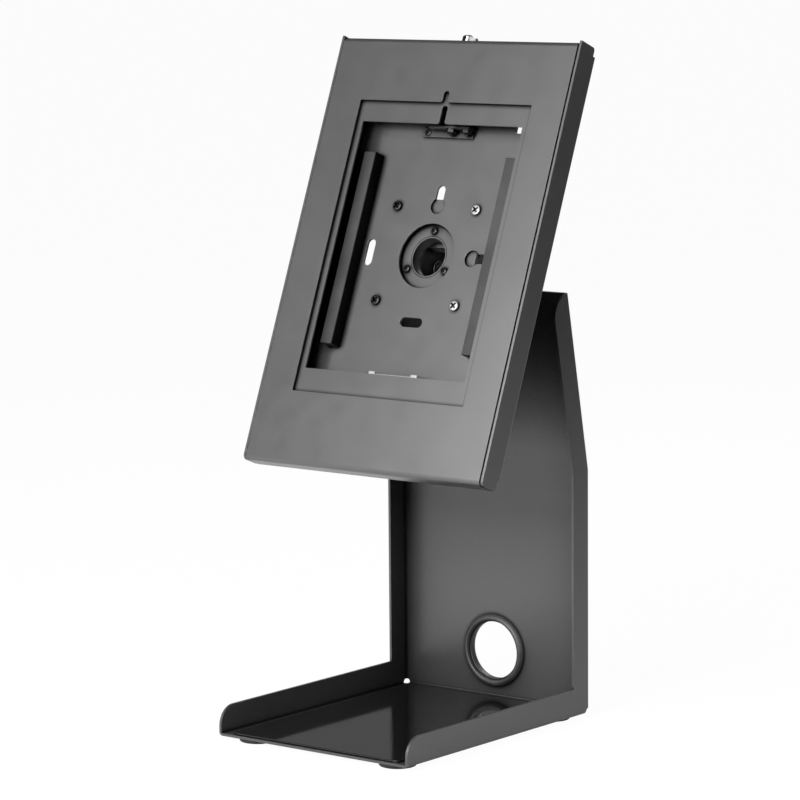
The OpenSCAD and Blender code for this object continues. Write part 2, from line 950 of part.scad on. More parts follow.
// The rivets of the two small brackets: two for the saddle, two for the upper bracket.
rivet_places = [
    [-saddle_w/2 - saddle_lug/2, saddle_z - saddle_h/2],
    [saddle_w/2 + saddle_lug/2, saddle_z - saddle_h/2],
    [-bracket_wall_w/2 - bracket_lug/2, bracket_low_z + bracket_left_lug_h/2],
    [bracket_wall_w/2 + bracket_lug/2, bracket_low_z + bracket_plate_h - bracket_right_lug_h/2]];

module back_box() color(coat) {
    case_frame()
        difference() {
            union() {
                translate([0, 0, box_fold_bottom])
                    linear_extrude(box_fold_top - box_fold_bottom)
                        mirror([1, -1])
                            channel_section(panel_back, 0, -case_w/2, case_w/2, box_sheet,
                                box_bend_r);
                for (x = [-1, 1])
                    translate([x*(case_w/2 - box_sheet/2), 0, 0])
                        along_x(box_sheet)
                            box_wall_outline();
                along_x(2*box_flange_x)
                    channel_section(panel_back, box_flange_y, box_bottom, box_top,
                        box_sheet, box_bend_r);
            }
            panel(bay_depth - 1, box_sheet + 2)
                panel_openings();
            translate([0, lock_y, box_top - box_sheet - 1])
                cylinder(d = lock_body_d + 2*screw_play, h = box_sheet + 2);
            for (x = [-1, 1])
                translate([x*hook_x - hook_w/2 - 1, cover_wall_d - hook_reach, box_bottom - 1])
                    cube([hook_w + 2, hook_reach + 0.5, box_sheet + 2]);
        }
}

// A spacer bar with bevelled front edges, on the left (x is -1) or the right (x is 1).
module spacer_bar(x) color(rubber) {
    bevel = 0.8;
    y0 = bay_depth - bar_t;
    case_frame()
        translate([x*(bar_gap + bar_w)/2, 0, -bar_len/2])
            linear_extrude(bar_len)
                polygon([[-bar_w/2, bay_depth], [-bar_w/2, y0 + bevel], [-bar_w/2 + bevel, y0],
                    [bar_w/2 - bevel, y0], [bar_w/2, y0 + bevel], [bar_w/2, bay_depth]]);
}

module left_spacer_bar() spacer_bar(-1);
module right_spacer_bar() spacer_bar(1);

// A plated bridge over the floor, for the tie that holds the tablet's charging lead.
module lower_saddle() color(zinc) {
    top_y = bay_depth - saddle_top;
    case_frame()
        difference() {
            union() {
                translate([-saddle_w/2, top_y, saddle_z - saddle_h])
                    cube([saddle_w, saddle_t, saddle_h]);
                for (x = [-1, 1]) {
                    translate([x*(saddle_w - saddle_ear_w)/2 - saddle_ear_w/2, top_y, saddle_z - eps])
                        cube([saddle_ear_w, saddle_t, saddle_ear_h + eps]);
                    translate([x*(saddle_w - saddle_t)/2 - saddle_t/2, top_y, saddle_z - saddle_h])
                        cube([saddle_t, saddle_top, saddle_h]);
                    translate([x*(saddle_w + saddle_lug)/2 - saddle_lug/2, bay_depth - saddle_t,
                            saddle_z - saddle_h])
                        cube([saddle_lug, saddle_t, saddle_h]);
                }
            }
            bracket_rivet_holes([0, 1]);
        }
}

// Holes of the rivets with the listed numbers, through whatever stands on the floor.
module bracket_rivet_holes(numbers) {
    for (i = numbers)
        translate([rivet_places[i][0], 0, rivet_places[i][1]])
            rod_y(rivet_d + 2*running, bay_depth - 3, bay_depth + 1);
}

// A small angle bracket near the top of the floor that carries two bolts.
module upper_bracket() color(coat) {
    case_frame()
        difference() {
            union() {
                translate([-bracket_wall_w/2, bay_depth - bracket_plate_t, bracket_low_z])
                    cube([bracket_wall_w, bracket_plate_t, bracket_plate_h]);
                translate([-bracket_wall_w/2, bay_depth - bracket_wall_h, bracket_wall_z])
                    cube([bracket_wall_w, bracket_wall_h, bracket_plate_t]);
                translate([-bracket_wall_w/2 - bracket_lug, bay_depth - bracket_plate_t,
                        bracket_low_z])
                    cube([bracket_lug + eps, bracket_plate_t, bracket_left_lug_h]);
                translate([bracket_wall_w/2 - eps, bay_depth - bracket_plate_t,
                        bracket_low_z + bracket_plate_h - bracket_right_lug_h])
                    cube([bracket_lug + eps, bracket_plate_t, bracket_right_lug_h]);
            }
            bracket_rivet_holes([2, 3]);
            upper_bolt_places()
                cylinder(d = small_bolt_d + 2*screw_play, h = 20, center = true);
        }
}

// The two bolts of the upper bracket, pointing down through its wall.
module upper_bolt_places() {
    for (x = bracket_bolt_x)
        translate([x, bay_depth - bracket_plate_t - small_nut_w/2 - 0.2, bracket_wall_z])
            children();
}

module upper_bracket_bolts() color(black_oxide) {
    case_frame()
        upper_bolt_places() {
            translate([0, 0, -4.6])
                cylinder(d = small_bolt_d, h = 4.6 + bracket_plate_t + 2);
            translate([0, 0, -small_nut_h])
                linear_extrude(small_nut_h)
                    difference() {
                        hexagon(small_nut_w);
                        circle(d = small_bolt_d - 2*eps);
                    }
            translate([0, 0, bracket_plate_t])
                cylinder(d = small_nut_w, h = small_head_h);
        }
}

module panel_rivets() color(black_oxide) {
    case_frame()
        for (i = [0:3]) {
            t = i < 2 ? saddle_t : bracket_plate_t;
            translate([rivet_places[i][0], 0, rivet_places[i][1]]) {
                rod_y(rivet_d, bay_depth - t - eps, panel_back + 0.8);
                translate([0, bay_depth - t, 0])
                    rotate([90, 0, 0])
                        cylinder(d1 = rivet_head_d, d2 = rivet_head_d*0.6, h = rivet_head_h);
                translate([0, panel_back, 0])
                    rotate([-90, 0, 0])
                        cylinder(d1 = rivet_d + 1.6, d2 = rivet_d, h = 0.8);
            }
        }
}

module lock_barrel() color(zinc) {
    case_frame()
        translate([0, lock_y, 0])
            difference() {
                union() {
                    translate([0, 0, lock_body_z])
                        cylinder(d = lock_body_d, h = lock_body_len + eps);
                    translate([0, 0, lock_rim_z])
                        cylinder(d = lock_rim_d, h = lock_rim_h - rim_bevel);
                    translate([0, 0, lock_rim_z + lock_rim_h - rim_bevel])
                        cylinder(d1 = lock_rim_d, d2 = lock_rim_d - 2*rim_bevel, h = rim_bevel);
                }
                translate([0, 0, lock_body_z - 1])
                    cylinder(d = lock_plug_d + 2*running, h = lock_body_len + lock_rim_h + 2);
            }
}

module lock_nut() color(zinc) {
    case_frame()
        translate([0, lock_y, box_top - box_sheet - lock_nut_h])
            hex_nut(lock_nut_w, lock_nut_h, lock_body_d + 2*running);
}

// The turning core of the lock, with its key slot, the square for the cam and a threaded end.
module lock_plug() color(zinc) {
    top = lock_rim_z + lock_rim_h - plug_recess;
    case_frame()
        translate([0, lock_y, 0]) {
            difference() {
                translate([0, 0, cam_z + cam_t])
                    cylinder(d = lock_plug_d, h = top - cam_z - cam_t);
                translate([0, 0, top - key_slot_deep])
                    linear_extrude(key_slot_deep + 1)
                        square([key_slot_w, key_slot_len], center = true);
            }
            translate([-cam_square/2, -cam_square/2, cam_z])
                cube([cam_square, cam_square, cam_t + eps]);
            translate([0, 0, cam_z - cam_nut_h - 1])
                cylinder(d = cam_thread_d, h = cam_nut_h + 1 + eps);
        }
}

// The cam points at the cover when the lock is open and to the right when it is locked.
module lock_cam() color(zinc) {
    case_frame()
        translate([0, lock_y, cam_z])
            linear_extrude(cam_t)
                difference() {
                    union() {
                        circle(d = cam_hub_d);
                        translate([-cam_w/2, -cam_len + 1])
                            square([cam_w, cam_len - 1]);
                        translate([-cam_w/2 + 1, -cam_len])
                            square([cam_w - 2, 1 + eps]);
                        for (x = [-1, 1])
                            translate([x*(cam_w/2 - 1), -cam_len + 1])
                                circle(1);
                    }
                    square(cam_square + 2*running, center = true);
                }
}

module cam_nut() color(zinc) {
    case_frame()
        translate([0, lock_y, cam_z - cam_nut_h])
            hex_nut(cam_nut_w, cam_nut_h, cam_thread_d + 2*running);
}

// A plate with a slot that the cam turns into, fixed behind the front cover.
module lock_catch() color(zinc) {
    mid_z = cam_z + cam_t/2;
    case_frame() {
        difference() {
            translate([catch_x, cover_sheet, mid_z - catch_h/2])
                cube([catch_t, catch_end + catch_lip - cover_sheet, catch_h]);
            translate([catch_x - 1, lock_y - cam_len - 0.3, mid_z - catch_slot_h/2])
                cube([catch_t + 2, catch_end - lock_y + cam_len + 0.3, catch_slot_h]);
        }
        translate([catch_x, cover_sheet, mid_z - catch_h/2])
            cube([catch_base, catch_t, catch_h]);
    }
}

// The four welded studs behind the front cover.
module stud_places() {
    for (x = [-1, 1], z = [-1, 1])
        translate([x*stud_x, 0, z*stud_z])
            children();
}

// Side view of the front cover. The rear edge of its bottom wall is round, because it rolls there.
module cover_outline() {
    difference() {
        channel_section(0, cover_wall_d, -case_below, case_above, cover_sheet, cover_bend_r);
        translate([cover_wall_d - cover_sheet/2, -case_below - 1])
            square([cover_sheet, cover_sheet + 1.2]);
    }
    translate([cover_wall_d - cover_sheet/2, -case_below + cover_sheet/2])
        circle(d = cover_sheet);
}

module front_cover() color(coat) {
    mid_x = (cover_left + cover_right)/2;
    window_h = window_top + window_bottom;
    case_frame() {
        difference() {
            translate([mid_x, 0, 0])
                along_x(cover_right - cover_left)
                    cover_outline();
            panel(-1, cover_sheet + 2) {
                translate([0, (window_top - window_bottom)/2])
                    round_rect(window_w, window_h, window_corner_r);
                camera_slot(window_top, camera_slot_cover);
            }
            translate([0, 0, case_above - cover_sheet - 1])
                linear_extrude(cover_sheet + 2) {
                    translate([0, lock_y])
                        circle(d = lock_body_d + 2*lock_notch_play);
                    translate([-lock_body_d/2 - lock_notch_play, lock_y])
                        square([lock_body_d + 2*lock_notch_play, cover_wall_d]);
                }
        }
        for (x = [-1, 1])
            translate([x*hook_x - hook_w/2, cover_wall_d - cover_sheet, -case_below + cover_sheet - eps])
                cube([hook_w, cover_sheet, hook_h]);
        stud_places()
            rod_y(stud_d, cover_sheet - eps, cover_sheet + stud_len);
    }
}

module insert_plate() color(coat) {
    case_frame()
        difference() {
            panel(cover_sheet, insert_t)
                difference() {
                    translate([0, (window_top - window_bottom)/2])
                        round_rect(window_w + 2*insert_margin, window_top + window_bottom
                            + 2*insert_margin, insert_corner_r);
                    round_rect(insert_w, insert_h, window_corner_r);
                    camera_slot(insert_h/2, camera_slot_insert);
                }
            stud_places()
                rod_y(stud_d + 2*screw_play, cover_sheet - 1, insert_back + 1);
        }
}

module insert_nuts() color(zinc) {
    case_frame()
        stud_places()
            translate([0, insert_back, 0])
                rotate([-90, 0, 0])
                    hex_nut(insert_nut_w, insert_nut_h, stud_d + 2*running);
}

stand_frame();
tray_liner();
foot_front_left();
foot_front_right();
foot_rear_left();
foot_rear_right();
cable_grommet();
head_bracket();
bracket_screws();
bracket_nuts();
tilt_bolts();
tilt_nuts();
tilt_spring_washers();
tilt_friction_washers();
swivel_hub();
retaining_ring();
ring_screws();
front_swivel_washer();
rear_swivel_washer();
swivel_stop_pin();
vesa_plate();
black_vesa_screws();
zinc_vesa_screws();
back_box();
left_spacer_bar();
right_spacer_bar();
lower_saddle();
upper_bracket();
upper_bracket_bolts();
panel_rivets();
lock_barrel();
lock_nut();
lock_plug();
lock_cam();
cam_nut();
front_cover();
insert_plate();
insert_nuts();
lock_catch();
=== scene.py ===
import json
import math
import bmesh
import bpy
from mathutils import Matrix, Vector


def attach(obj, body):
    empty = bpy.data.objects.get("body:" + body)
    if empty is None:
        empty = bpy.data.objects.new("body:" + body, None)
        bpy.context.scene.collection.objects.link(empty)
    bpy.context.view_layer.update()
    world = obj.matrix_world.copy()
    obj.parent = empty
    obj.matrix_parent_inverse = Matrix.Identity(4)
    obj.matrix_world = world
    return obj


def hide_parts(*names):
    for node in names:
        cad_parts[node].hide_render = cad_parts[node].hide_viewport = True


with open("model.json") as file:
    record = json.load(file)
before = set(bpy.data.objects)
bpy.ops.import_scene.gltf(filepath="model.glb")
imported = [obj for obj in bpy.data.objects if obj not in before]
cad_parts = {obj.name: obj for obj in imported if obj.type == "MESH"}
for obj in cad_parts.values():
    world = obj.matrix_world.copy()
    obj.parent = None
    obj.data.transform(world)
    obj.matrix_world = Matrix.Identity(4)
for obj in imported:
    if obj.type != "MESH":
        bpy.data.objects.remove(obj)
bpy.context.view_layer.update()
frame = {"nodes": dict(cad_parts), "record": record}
nodes = frame["nodes"]
mm = 0.001
print("stand: frame loaded,", len(nodes), "nodes")

# Where the two slanted groups stand, in mm and degrees: the leaning top of the post and the screen
places = {
    "postFoot": (0, 113.5, 194),
    "postLean": 10.8,
    "screenCentre": (0, 9.7006, 366.9134),
    "screenLean": -21.7,
}


def shifted(x, y, z):
    # a move given in mm
    return Matrix.Translation((x * mm, y * mm, z * mm))


def rotated(degrees, axis):
    return Matrix.Rotation(math.radians(degrees), 4, axis)


postFrame = shifted(*places["postFoot"]) @ rotated(places["postLean"], "X")
caseFrame = shifted(*places["screenCentre"]) @ rotated(places["screenLean"], "X")
faceOut = rotated(90, "X")    # local Z points out of the screen
faceBack = rotated(-90, "X")  # local Z points to the back
caseOut = caseFrame @ faceOut


# Small helpers for node trees

def put(tree, kind, feeds=None, **settings):
    node = tree.nodes.new(kind)
    for key, value in settings.items():
        setattr(node, key, value)
    for key, value in (feeds or {}).items():
        if isinstance(value, bpy.types.NodeSocket):
            tree.links.new(value, node.inputs[key])
        else:
            node.inputs[key].default_value = value
    return node


def calc(tree, how, *values):
    return put(tree, "ShaderNodeMath", dict(enumerate(values)), operation=how).outputs[0]


def grey(value, warm=0.0):
    # a shade written as it shows on a screen, turned to the linear value that a shader takes
    shades = [value * (1 + warm), value, value * (1 - warm)]
    return tuple((s / 12.92 if s <= 0.04045 else ((s + 0.055) / 1.055) ** 2.4) for s in shades) + (1,)


def noise(tree, where, scale, detail, rough):
    feeds = {"Vector": where, "Scale": scale, "Detail": detail, "Roughness": rough}
    return put(tree, "ShaderNodeTexNoise", feeds).outputs["Fac"]


def cells(tree, where, scale):
    return put(tree, "ShaderNodeTexVoronoi", {"Vector": where, "Scale": scale}).outputs["Distance"]


def spread(tree, value, low, high, toLow=0.0, toHigh=1.0):
    return put(tree, "ShaderNodeMapRange", {0: value, 1: low, 2: high, 3: toLow, 4: toHigh}).outputs[0]


def mixed(tree, first, second, share):
    # the given share of the first value and the rest of the second
    return calc(tree, "ADD", calc(tree, "MULTIPLY", first, share), calc(tree, "MULTIPLY", second, 1 - share))


def newFinish(name, look):
    finish = bpy.data.materials.new(name)
    finish.use_nodes = True
    tree = finish.node_tree
    skin = tree.nodes["Principled BSDF"]
    for socket, value in look["sockets"].items():
        skin.inputs[socket].default_value = value
    where = put(tree, "ShaderNodeTexCoord").outputs["Object"]
    return finish, tree, skin, where


def tone(tree, skin, tones, amount):
    mix = put(tree, "ShaderNodeMix", {"Factor": amount, 6: tones[0], 7: tones[1]}, data_type="RGBA")
    tree.links.new(mix.outputs[2], skin.inputs["Base Color"])


def relief(tree, skin, height, strength, depth):
    bump = put(tree, "ShaderNodeBump", {"Height": height, "Strength": strength, "Distance": depth})
    tree.links.new(bump.outputs[0], skin.inputs["Normal"])


def openness(tree, feeds):
    # 1 on an open face, less where another surface stands within reach
    return put(tree, "ShaderNodeAmbientOcclusion", feeds, samples=8).outputs["AO"]


def paintShadeNear(tree, skin, *paintedShades, recessShadow=None):
    # painted shade: the colour and the shine are darkened where another surface stands close. Each entry is
    # a reach, a strength and, where most of the light comes from one side, the way to that side, so that
    # faces turned from it get painted shade. The recess shadow is a reach and the two open shares between
    # which a painted shadow goes from black to clear
    clear = 1.0
    if recessShadow:
        reach, black, free = recessShadow
        clear = spread(tree, openness(tree, {"Distance": reach * mm}), black, free)
    for reach, power, *side in paintedShades:
        feeds = {"Distance": reach * mm}
        if side:
            outward = put(tree, "ShaderNodeNewGeometry").outputs["Normal"]
            leaning = put(tree, "ShaderNodeVectorMath", {0: outward, 1: side[0]}, operation="ADD").outputs[0]
            unit = put(tree, "ShaderNodeVectorMath", {0: leaning}, operation="NORMALIZE").outputs[0]
            feeds["Normal"] = unit
        near = openness(tree, feeds)
        if side:
            # a flat open face still sees only this share when its outlook leans to one side
            near = spread(tree, near, 0, (1 + 1 / math.hypot(1, *side[0])) / 2)
        clear = calc(tree, "MULTIPLY", clear, calc(tree, "POWER", near, power))
    # the painted shade darkens both the base colour and the specular level
    socket = skin.inputs["Base Color"]
    mix = put(tree, "ShaderNodeMix", {0: 1.0, 6: socket.links[0].from_socket, 7: clear}, data_type="RGBA",
              blend_type="MULTIPLY")
    tree.links.new(mix.outputs[2], socket)
    shine = skin.inputs["Specular IOR Level"]
    tree.links.new(calc(tree, "MULTIPLY", clear, shine.default_value), shine)


# Finishes
# A look gives the plain socket values, the grain of each noise as scale, detail and roughness, the two
# tones, the part of the noise that drives the tone and the roughness, and the bump's strength and depth

coatLook = {
    "sockets": {"Specular IOR Level": 0.9},
    "grain": (2600.0, 2, 0.6), "cloud": (9.0, 3, 0.5), "peel": (420.0, 2, 0.5), "rub": (55.0, 4, 0.65),
    "grainInTone": 0.7, "tones": (grey(0.17), grey(0.21)), "toneFrom": (0.3, 0.7),
    "grainInRough": 0.03, "roughFrom": (0.3, 0.75), "rough": (0.28, 0.33),
    "peelInBump": 0.6, "bump": (0.35, 0.00006),
}
linerLook = {
    "sockets": {}, "smear": (14.0, 5, 0.6), "wave": (30.0, 1, 0.4), "dust": 900.0,
    "dustFrom": (0.03, 0.09), "dustInTone": 0.6, "tones": (grey(0.07), grey(0.11)),
    "roughFrom": (0.35, 0.75), "rough": (0.05, 0.13), "bump": (0.04, 0.0002),
}
foamLook = {
    "sockets": {"Specular IOR Level": 0.3}, "cells": 1500.0, "cloud": (40.0, 3, 0.5),
    "tones": (grey(0.15), grey(0.2)), "toneFrom": (0.35, 0.7),
    "roughFrom": (0, 0.6), "rough": (0.6, 0.76), "bump": (0.45, 0.0001),
}
rubberLook = {
    "sockets": {"Specular IOR Level": 0.5}, "cloud": (60.0, 3, 0.6), "grain": (1500.0, 3, 0.6),
    "tones": (grey(0.115), grey(0.165)), "toneFrom": (0.35, 0.75),
    "roughFrom": (0.3, 0.7), "rough": (0.46, 0.58), "bump": (0.3, 0.00005),
}
oxideLook = {
    "sockets": {"Metallic": 0.85}, "cloud": (500.0, 3, 0.6), "grain": (500.0, 3, 0.6),
    "tones": (grey(0.1), grey(0.17)), "toneFrom": (0.3, 0.75),
    "roughFrom": (0.3, 0.7), "rough": (0.3, 0.45), "bump": (0.12, 0.00003),
}
zincLook = {
    "sockets": {"Metallic": 1.0}, "cloud": (260.0, 4, 0.6), "grain": (3000.0, 2, 0.5),
    "tones": (grey(0.5, 0.012), grey(0.62, 0.004)), "toneFrom": (0.3, 0.7),
    "roughFrom": (0.3, 0.7), "rough": (0.5, 0.6), "bump": (0.12, 0.00003),
}
chromeLook = {
    "sockets": {"Metallic": 1.0}, "cloud": (400.0, 4, 0.7), "grain": (400.0, 4, 0.7),
    "tones": (grey(0.78), grey(0.92)), "toneFrom": (0.3, 0.7),
    "roughFrom": (0.3, 0.8), "rough": (0.09, 0.24), "bump": (0.05, 0.00003),
}
nylonLook = {
    "sockets": {"Specular IOR Level": 0.4, "Subsurface Weight": 0.15, "Subsurface Scale": 0.002},
    "cloud": (300.0, 2, 0.5), "grain": (300.0, 2, 0.5),
    "tones": (grey(0.8, 0.02), grey(0.87, 0.015)), "toneFrom": (0, 1),
    "roughFrom": (0.3, 0.7), "rough": (0.4, 0.5), "bump": (0.1, 0.00003),
}


def powderCoat(name, *paintedShades, recessShadow=None):
    look = coatLook
    finish, tree, skin, where = newFinish(name, look)
    grain, cloud, peel, rub = (noise(tree, where, *look[kind]) for kind in ("grain", "cloud", "peel", "rub"))
    speck = mixed(tree, grain, cloud, look["grainInTone"])
    tone(tree, skin, look["tones"], spread(tree, speck, *look["toneFrom"]))
    rough = calc(tree, "ADD", spread(tree, rub, *look["roughFrom"], *look["rough"]),
                 calc(tree, "MULTIPLY", grain, look["grainInRough"]))
    tree.links.new(rough, skin.inputs["Roughness"])
    relief(tree, skin, mixed(tree, peel, grain, look["peelInBump"]), *look["bump"])
    # painted shade where other surfaces stand close
    paintShadeNear(tree, skin, *paintedShades, recessShadow=recessShadow)
    return finish


def glossLiner(name):
    look = linerLook
    finish, tree, skin, where = newFinish(name, look)
    fleck = spread(tree, cells(tree, where, look["dust"]), *look["dustFrom"], 1, 0)
    tone(tree, skin, look["tones"], calc(tree, "MULTIPLY", fleck, look["dustInTone"]))
    smear = noise(tree, where, *look["smear"])
    tree.links.new(spread(tree, smear, *look["roughFrom"], *look["rough"]), skin.inputs["Roughness"])
    relief(tree, skin, noise(tree, where, *look["wave"]), *look["bump"])
    return finish


def denseFoam(name, *paintedShades):
    look = foamLook
    finish, tree, skin, where = newFinish(name, look)
    pores = cells(tree, where, look["cells"])
    tone(tree, skin, look["tones"], spread(tree, noise(tree, where, *look["cloud"]), *look["toneFrom"]))
    tree.links.new(spread(tree, pores, *look["roughFrom"], *look["rough"]), skin.inputs["Roughness"])
    relief(tree, skin, pores, *look["bump"])
    # painted shade where other surfaces stand close
    paintShadeNear(tree, skin, *paintedShades)
    return finish


def clouded(name, look, *paintedShades):
    # one cloudy noise drives tone and roughness, a second one the bump
    finish, tree, skin, where = newFinish(name, look)
    cloud = noise(tree, where, *look["cloud"])
    tone(tree, skin, look["tones"], spread(tree, cloud, *look["toneFrom"]))
    tree.links.new(spread(tree, cloud, *look["roughFrom"], *look["rough"]), skin.inputs["Roughness"])
    relief(tree, skin, noise(tree, where, *look["grain"]), *look["bump"])
    # painted shade where other surfaces stand close, when entries are given
    if paintedShades:
        paintShadeNear(tree, skin, *paintedShades)
    return finish


# the ways to the light for one-sided painted shade, then the painted shade near close surfaces that several
# finishes share, as the shade painter takes them
ways = {"topLeft": (-0.9, 0, 0.7), "above": (-0.25, 0, 1.1), "left": (-1.6, 0, 0),
        "upperLeft": (-1.4, 0, 0.2)}
creaseShade = (3, 2.5)
metalCreaseShade = (2, 2.5)
sideShade = (10, 2.0, ways["left"])

# all finishes but the liner, chrome and nylon get painted shade where surfaces stand close; the foam bars
# also get painted shade on faces turned from the upper left
finishes = {
    "powder_coat": powderCoat("powderCoat", creaseShade),
    "gloss_liner": glossLiner("glossLiner"),
    "black_rubber": clouded("blackRubber", rubberLook, (3, 1.0)),
    "bar_foam": denseFoam("barFoam", (5, 1.0), (30, 1.3, ways["upperLeft"])),
    "black_oxide": clouded("blackOxide", oxideLook, metalCreaseShade),
    "zinc_plate": clouded("zincPlate", zincLook, (2, 5.0)),
    "lock_chrome": clouded("lockChrome", chromeLook),
    "nylon": clouded("nylonWhite", nylonLook),
}
# copies of the coat and of the oxide with stronger painted shade, for pieces that stand deep in the shade of
# others: painted shadow on the sides turned from the light, and painted shadow from black to clear in
# recesses
paintedShadeCoats = {
    "front_cover": powderCoat("coverCoat", creaseShade, (4, 2.0, ways["topLeft"])),
    "insert_plate": powderCoat("insertCoat", creaseShade, (5, 2.0, ways["topLeft"])),
    "retaining_ring": powderCoat("ringCoat", creaseShade, (7, 4.0, ways["topLeft"])),
    "back_box": powderCoat("boxCoat", creaseShade, recessShadow=(28, 0.38, 0.64)),
    "upper_bracket": powderCoat("bracketCoat", creaseShade, recessShadow=(28, 0.3, 0.8)),
    "swivel_hub": powderCoat("hubCoat", creaseShade, sideShade),
    "stand_frame": powderCoat("standCoat", creaseShade, (130, 1.5, ways["above"])),
}
oxidePaintedShade = clouded("oxidePaintedShade", oxideLook, metalCreaseShade, sideShade)
bodyOf = {}
for bodyName, members in frame["record"]["behaviour"]["bodies"].items():
    for member in members:
        bodyOf[member] = bodyName
slotOf = {entry["node"]: entry["material_slot"] for entry in frame["record"]["subparts"]}
for nodeName, obj in nodes.items():
    obj.data.materials.clear()
    obj.data.materials.append(finishes[slotOf[nodeName]])
print("stand: finishes made")


# Making pieces

def settle(obj, node):
    # the piece takes the body and the finish of the node that it stands for
    slot = slotOf[node]
    if not obj.data.materials:
        obj.data.materials.append(finishes[slot])
    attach(obj, bodyOf[node])
    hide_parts(node)


def asObject(name, data):
    obj = bpy.data.objects.new(name, data)
    bpy.context.scene.collection.objects.link(obj)
    return obj


def applied(obj):
    # turns a live object into a plain mesh with its modifiers worked in
    graph = bpy.context.evaluated_depsgraph_get()
    mesh = bpy.data.meshes.new_from_object(obj.evaluated_get(graph), depsgraph=graph)
    obj.modifiers.clear()
    obj.data = mesh


def smoothUnder(mesh, angle):
    mesh.shade_smooth()
    bm = bmesh.new()
    bm.from_mesh(mesh)
    for edge in bm.edges:
        if len(edge.link_faces) == 2:
            edge.smooth = edge.calc_face_angle(0) < math.radians(angle)
    bm.to_mesh(mesh)
    bm.free()


def evenShade(obj):
    # large flat faces keep their own direction, so that only the small edge faces turn the light
    weigh = obj.modifiers.new("evenShade", "WEIGHTED_NORMAL")
    weigh.weight = 100
    weigh.keep_sharp = True
    applied(obj)


# How meshes are cleaned and shaded: lengths in metres, angles in degrees
meshing = {"weld": 1e-6, "sliver": 1e-7, "flat": 0.6, "easedAngle": 30, "easedSteps": 2, "easedSmooth": 50,
           "turnedSmooth": 35, "grownSmooth": 38}


def eased(nodeName, width, finish=None):
    # a folded or turned part with its cut edges eased, as deburring and the coat leave them
    mesh = nodes[nodeName].data.copy()
    bm = bmesh.new()
    bm.from_mesh(mesh)
    bmesh.ops.remove_doubles(bm, verts=bm.verts, dist=meshing["weld"])
    bmesh.ops.dissolve_limit(bm, angle_limit=math.radians(meshing["flat"]), verts=bm.verts, edges=bm.edges)
    least = math.radians(meshing["easedAngle"])
    sharp = [e for e in bm.edges if len(e.link_faces) == 2 and e.calc_face_angle(0) > least]
    bmesh.ops.bevel(bm, geom=sharp, offset=width * mm, offset_type="OFFSET", segments=meshing["easedSteps"],
                    profile=0.5, affect="EDGES", clamp_overlap=True)
    bmesh.ops.recalc_face_normals(bm, faces=bm.faces)
    bm.to_mesh(mesh)
    bm.free()
    if finish:
        mesh.materials.clear()
        mesh.materials.append(finish)
    obj = asObject(nodeName + ".eased", mesh)
    smoothUnder(mesh, meshing["easedSmooth"])
    evenShade(obj)
    settle(obj, nodeName)


def lathe(name, outline, frameMatrix, steps, closed=True):
    # outline is a list of (radius, height) in mm, turned round local Z
    bm = bmesh.new()
    rings = []
    for i in range(steps):
        angle = 2 * math.pi * i / steps
        across, along = mm * math.cos(angle), mm * math.sin(angle)
        rings.append([bm.verts.new((r * across, r * along, z * mm)) for r, z in outline])
    count = len(outline)
    for i in range(steps):
        this, following = rings[i], rings[(i + 1) % steps]
        for j in range(count if closed else count - 1):
            k = (j + 1) % count
            bm.faces.new((this[j], following[j], following[k], this[k]))
    bmesh.ops.remove_doubles(bm, verts=bm.verts, dist=meshing["weld"])
    bmesh.ops.dissolve_degenerate(bm, edges=bm.edges, dist=meshing["sliver"])
    bmesh.ops.recalc_face_normals(bm, faces=bm.faces)
    mesh = bpy.data.meshes.new(name)
    bm.to_mesh(mesh)
    bm.free()
    mesh.transform(frameMatrix)
    smoothUnder(mesh, meshing["turnedSmooth"])
    return asObject(name, mesh)


# Node trees for the small repeated parts

# Shares that heads, threads and drives are made with: the thread ridge's radius, its upper end and the
# core's upper end in pitches, the top of a drive's cutter in heads, the part of a head's outline that is
# its underside, and the round at the middle of a cross drive in widths of its slots
forming = {"ridge": 0.42, "ridgeEnd": -0.6, "coreEnd": 0.5, "cutterTop": 2.0, "underside": 0.2,
           "crossRound": 0.85}


def newTree(name, sizes):
    tree = bpy.data.node_groups.new(name, "GeometryNodeTree")
    face = tree.interface
    face.new_socket("Places", in_out="INPUT", socket_type="NodeSocketGeometry")
    for label, value in sizes.items():
        face.new_socket(label, in_out="INPUT", socket_type="NodeSocketFloat").default_value = value
    face.new_socket("Finish", in_out="INPUT", socket_type="NodeSocketMaterial")
    face.new_socket("Geometry", in_out="OUTPUT", socket_type="NodeSocketGeometry")
    return tree, put(tree, "NodeGroupInput").outputs, put(tree, "NodeGroupOutput")


def upBy(tree, height):
    return put(tree, "ShaderNodeCombineXYZ", {2: height}).outputs[0]


def moved(tree, shape, shift, turn=(0, 0, 0)):
    feeds = {"Geometry": shape, "Translation": shift, "Rotation": turn}
    return put(tree, "GeometryNodeTransform", feeds).outputs[0]


def midway(tree, low, high):
    return upBy(tree, calc(tree, "MULTIPLY", calc(tree, "ADD", low, high), 0.5))


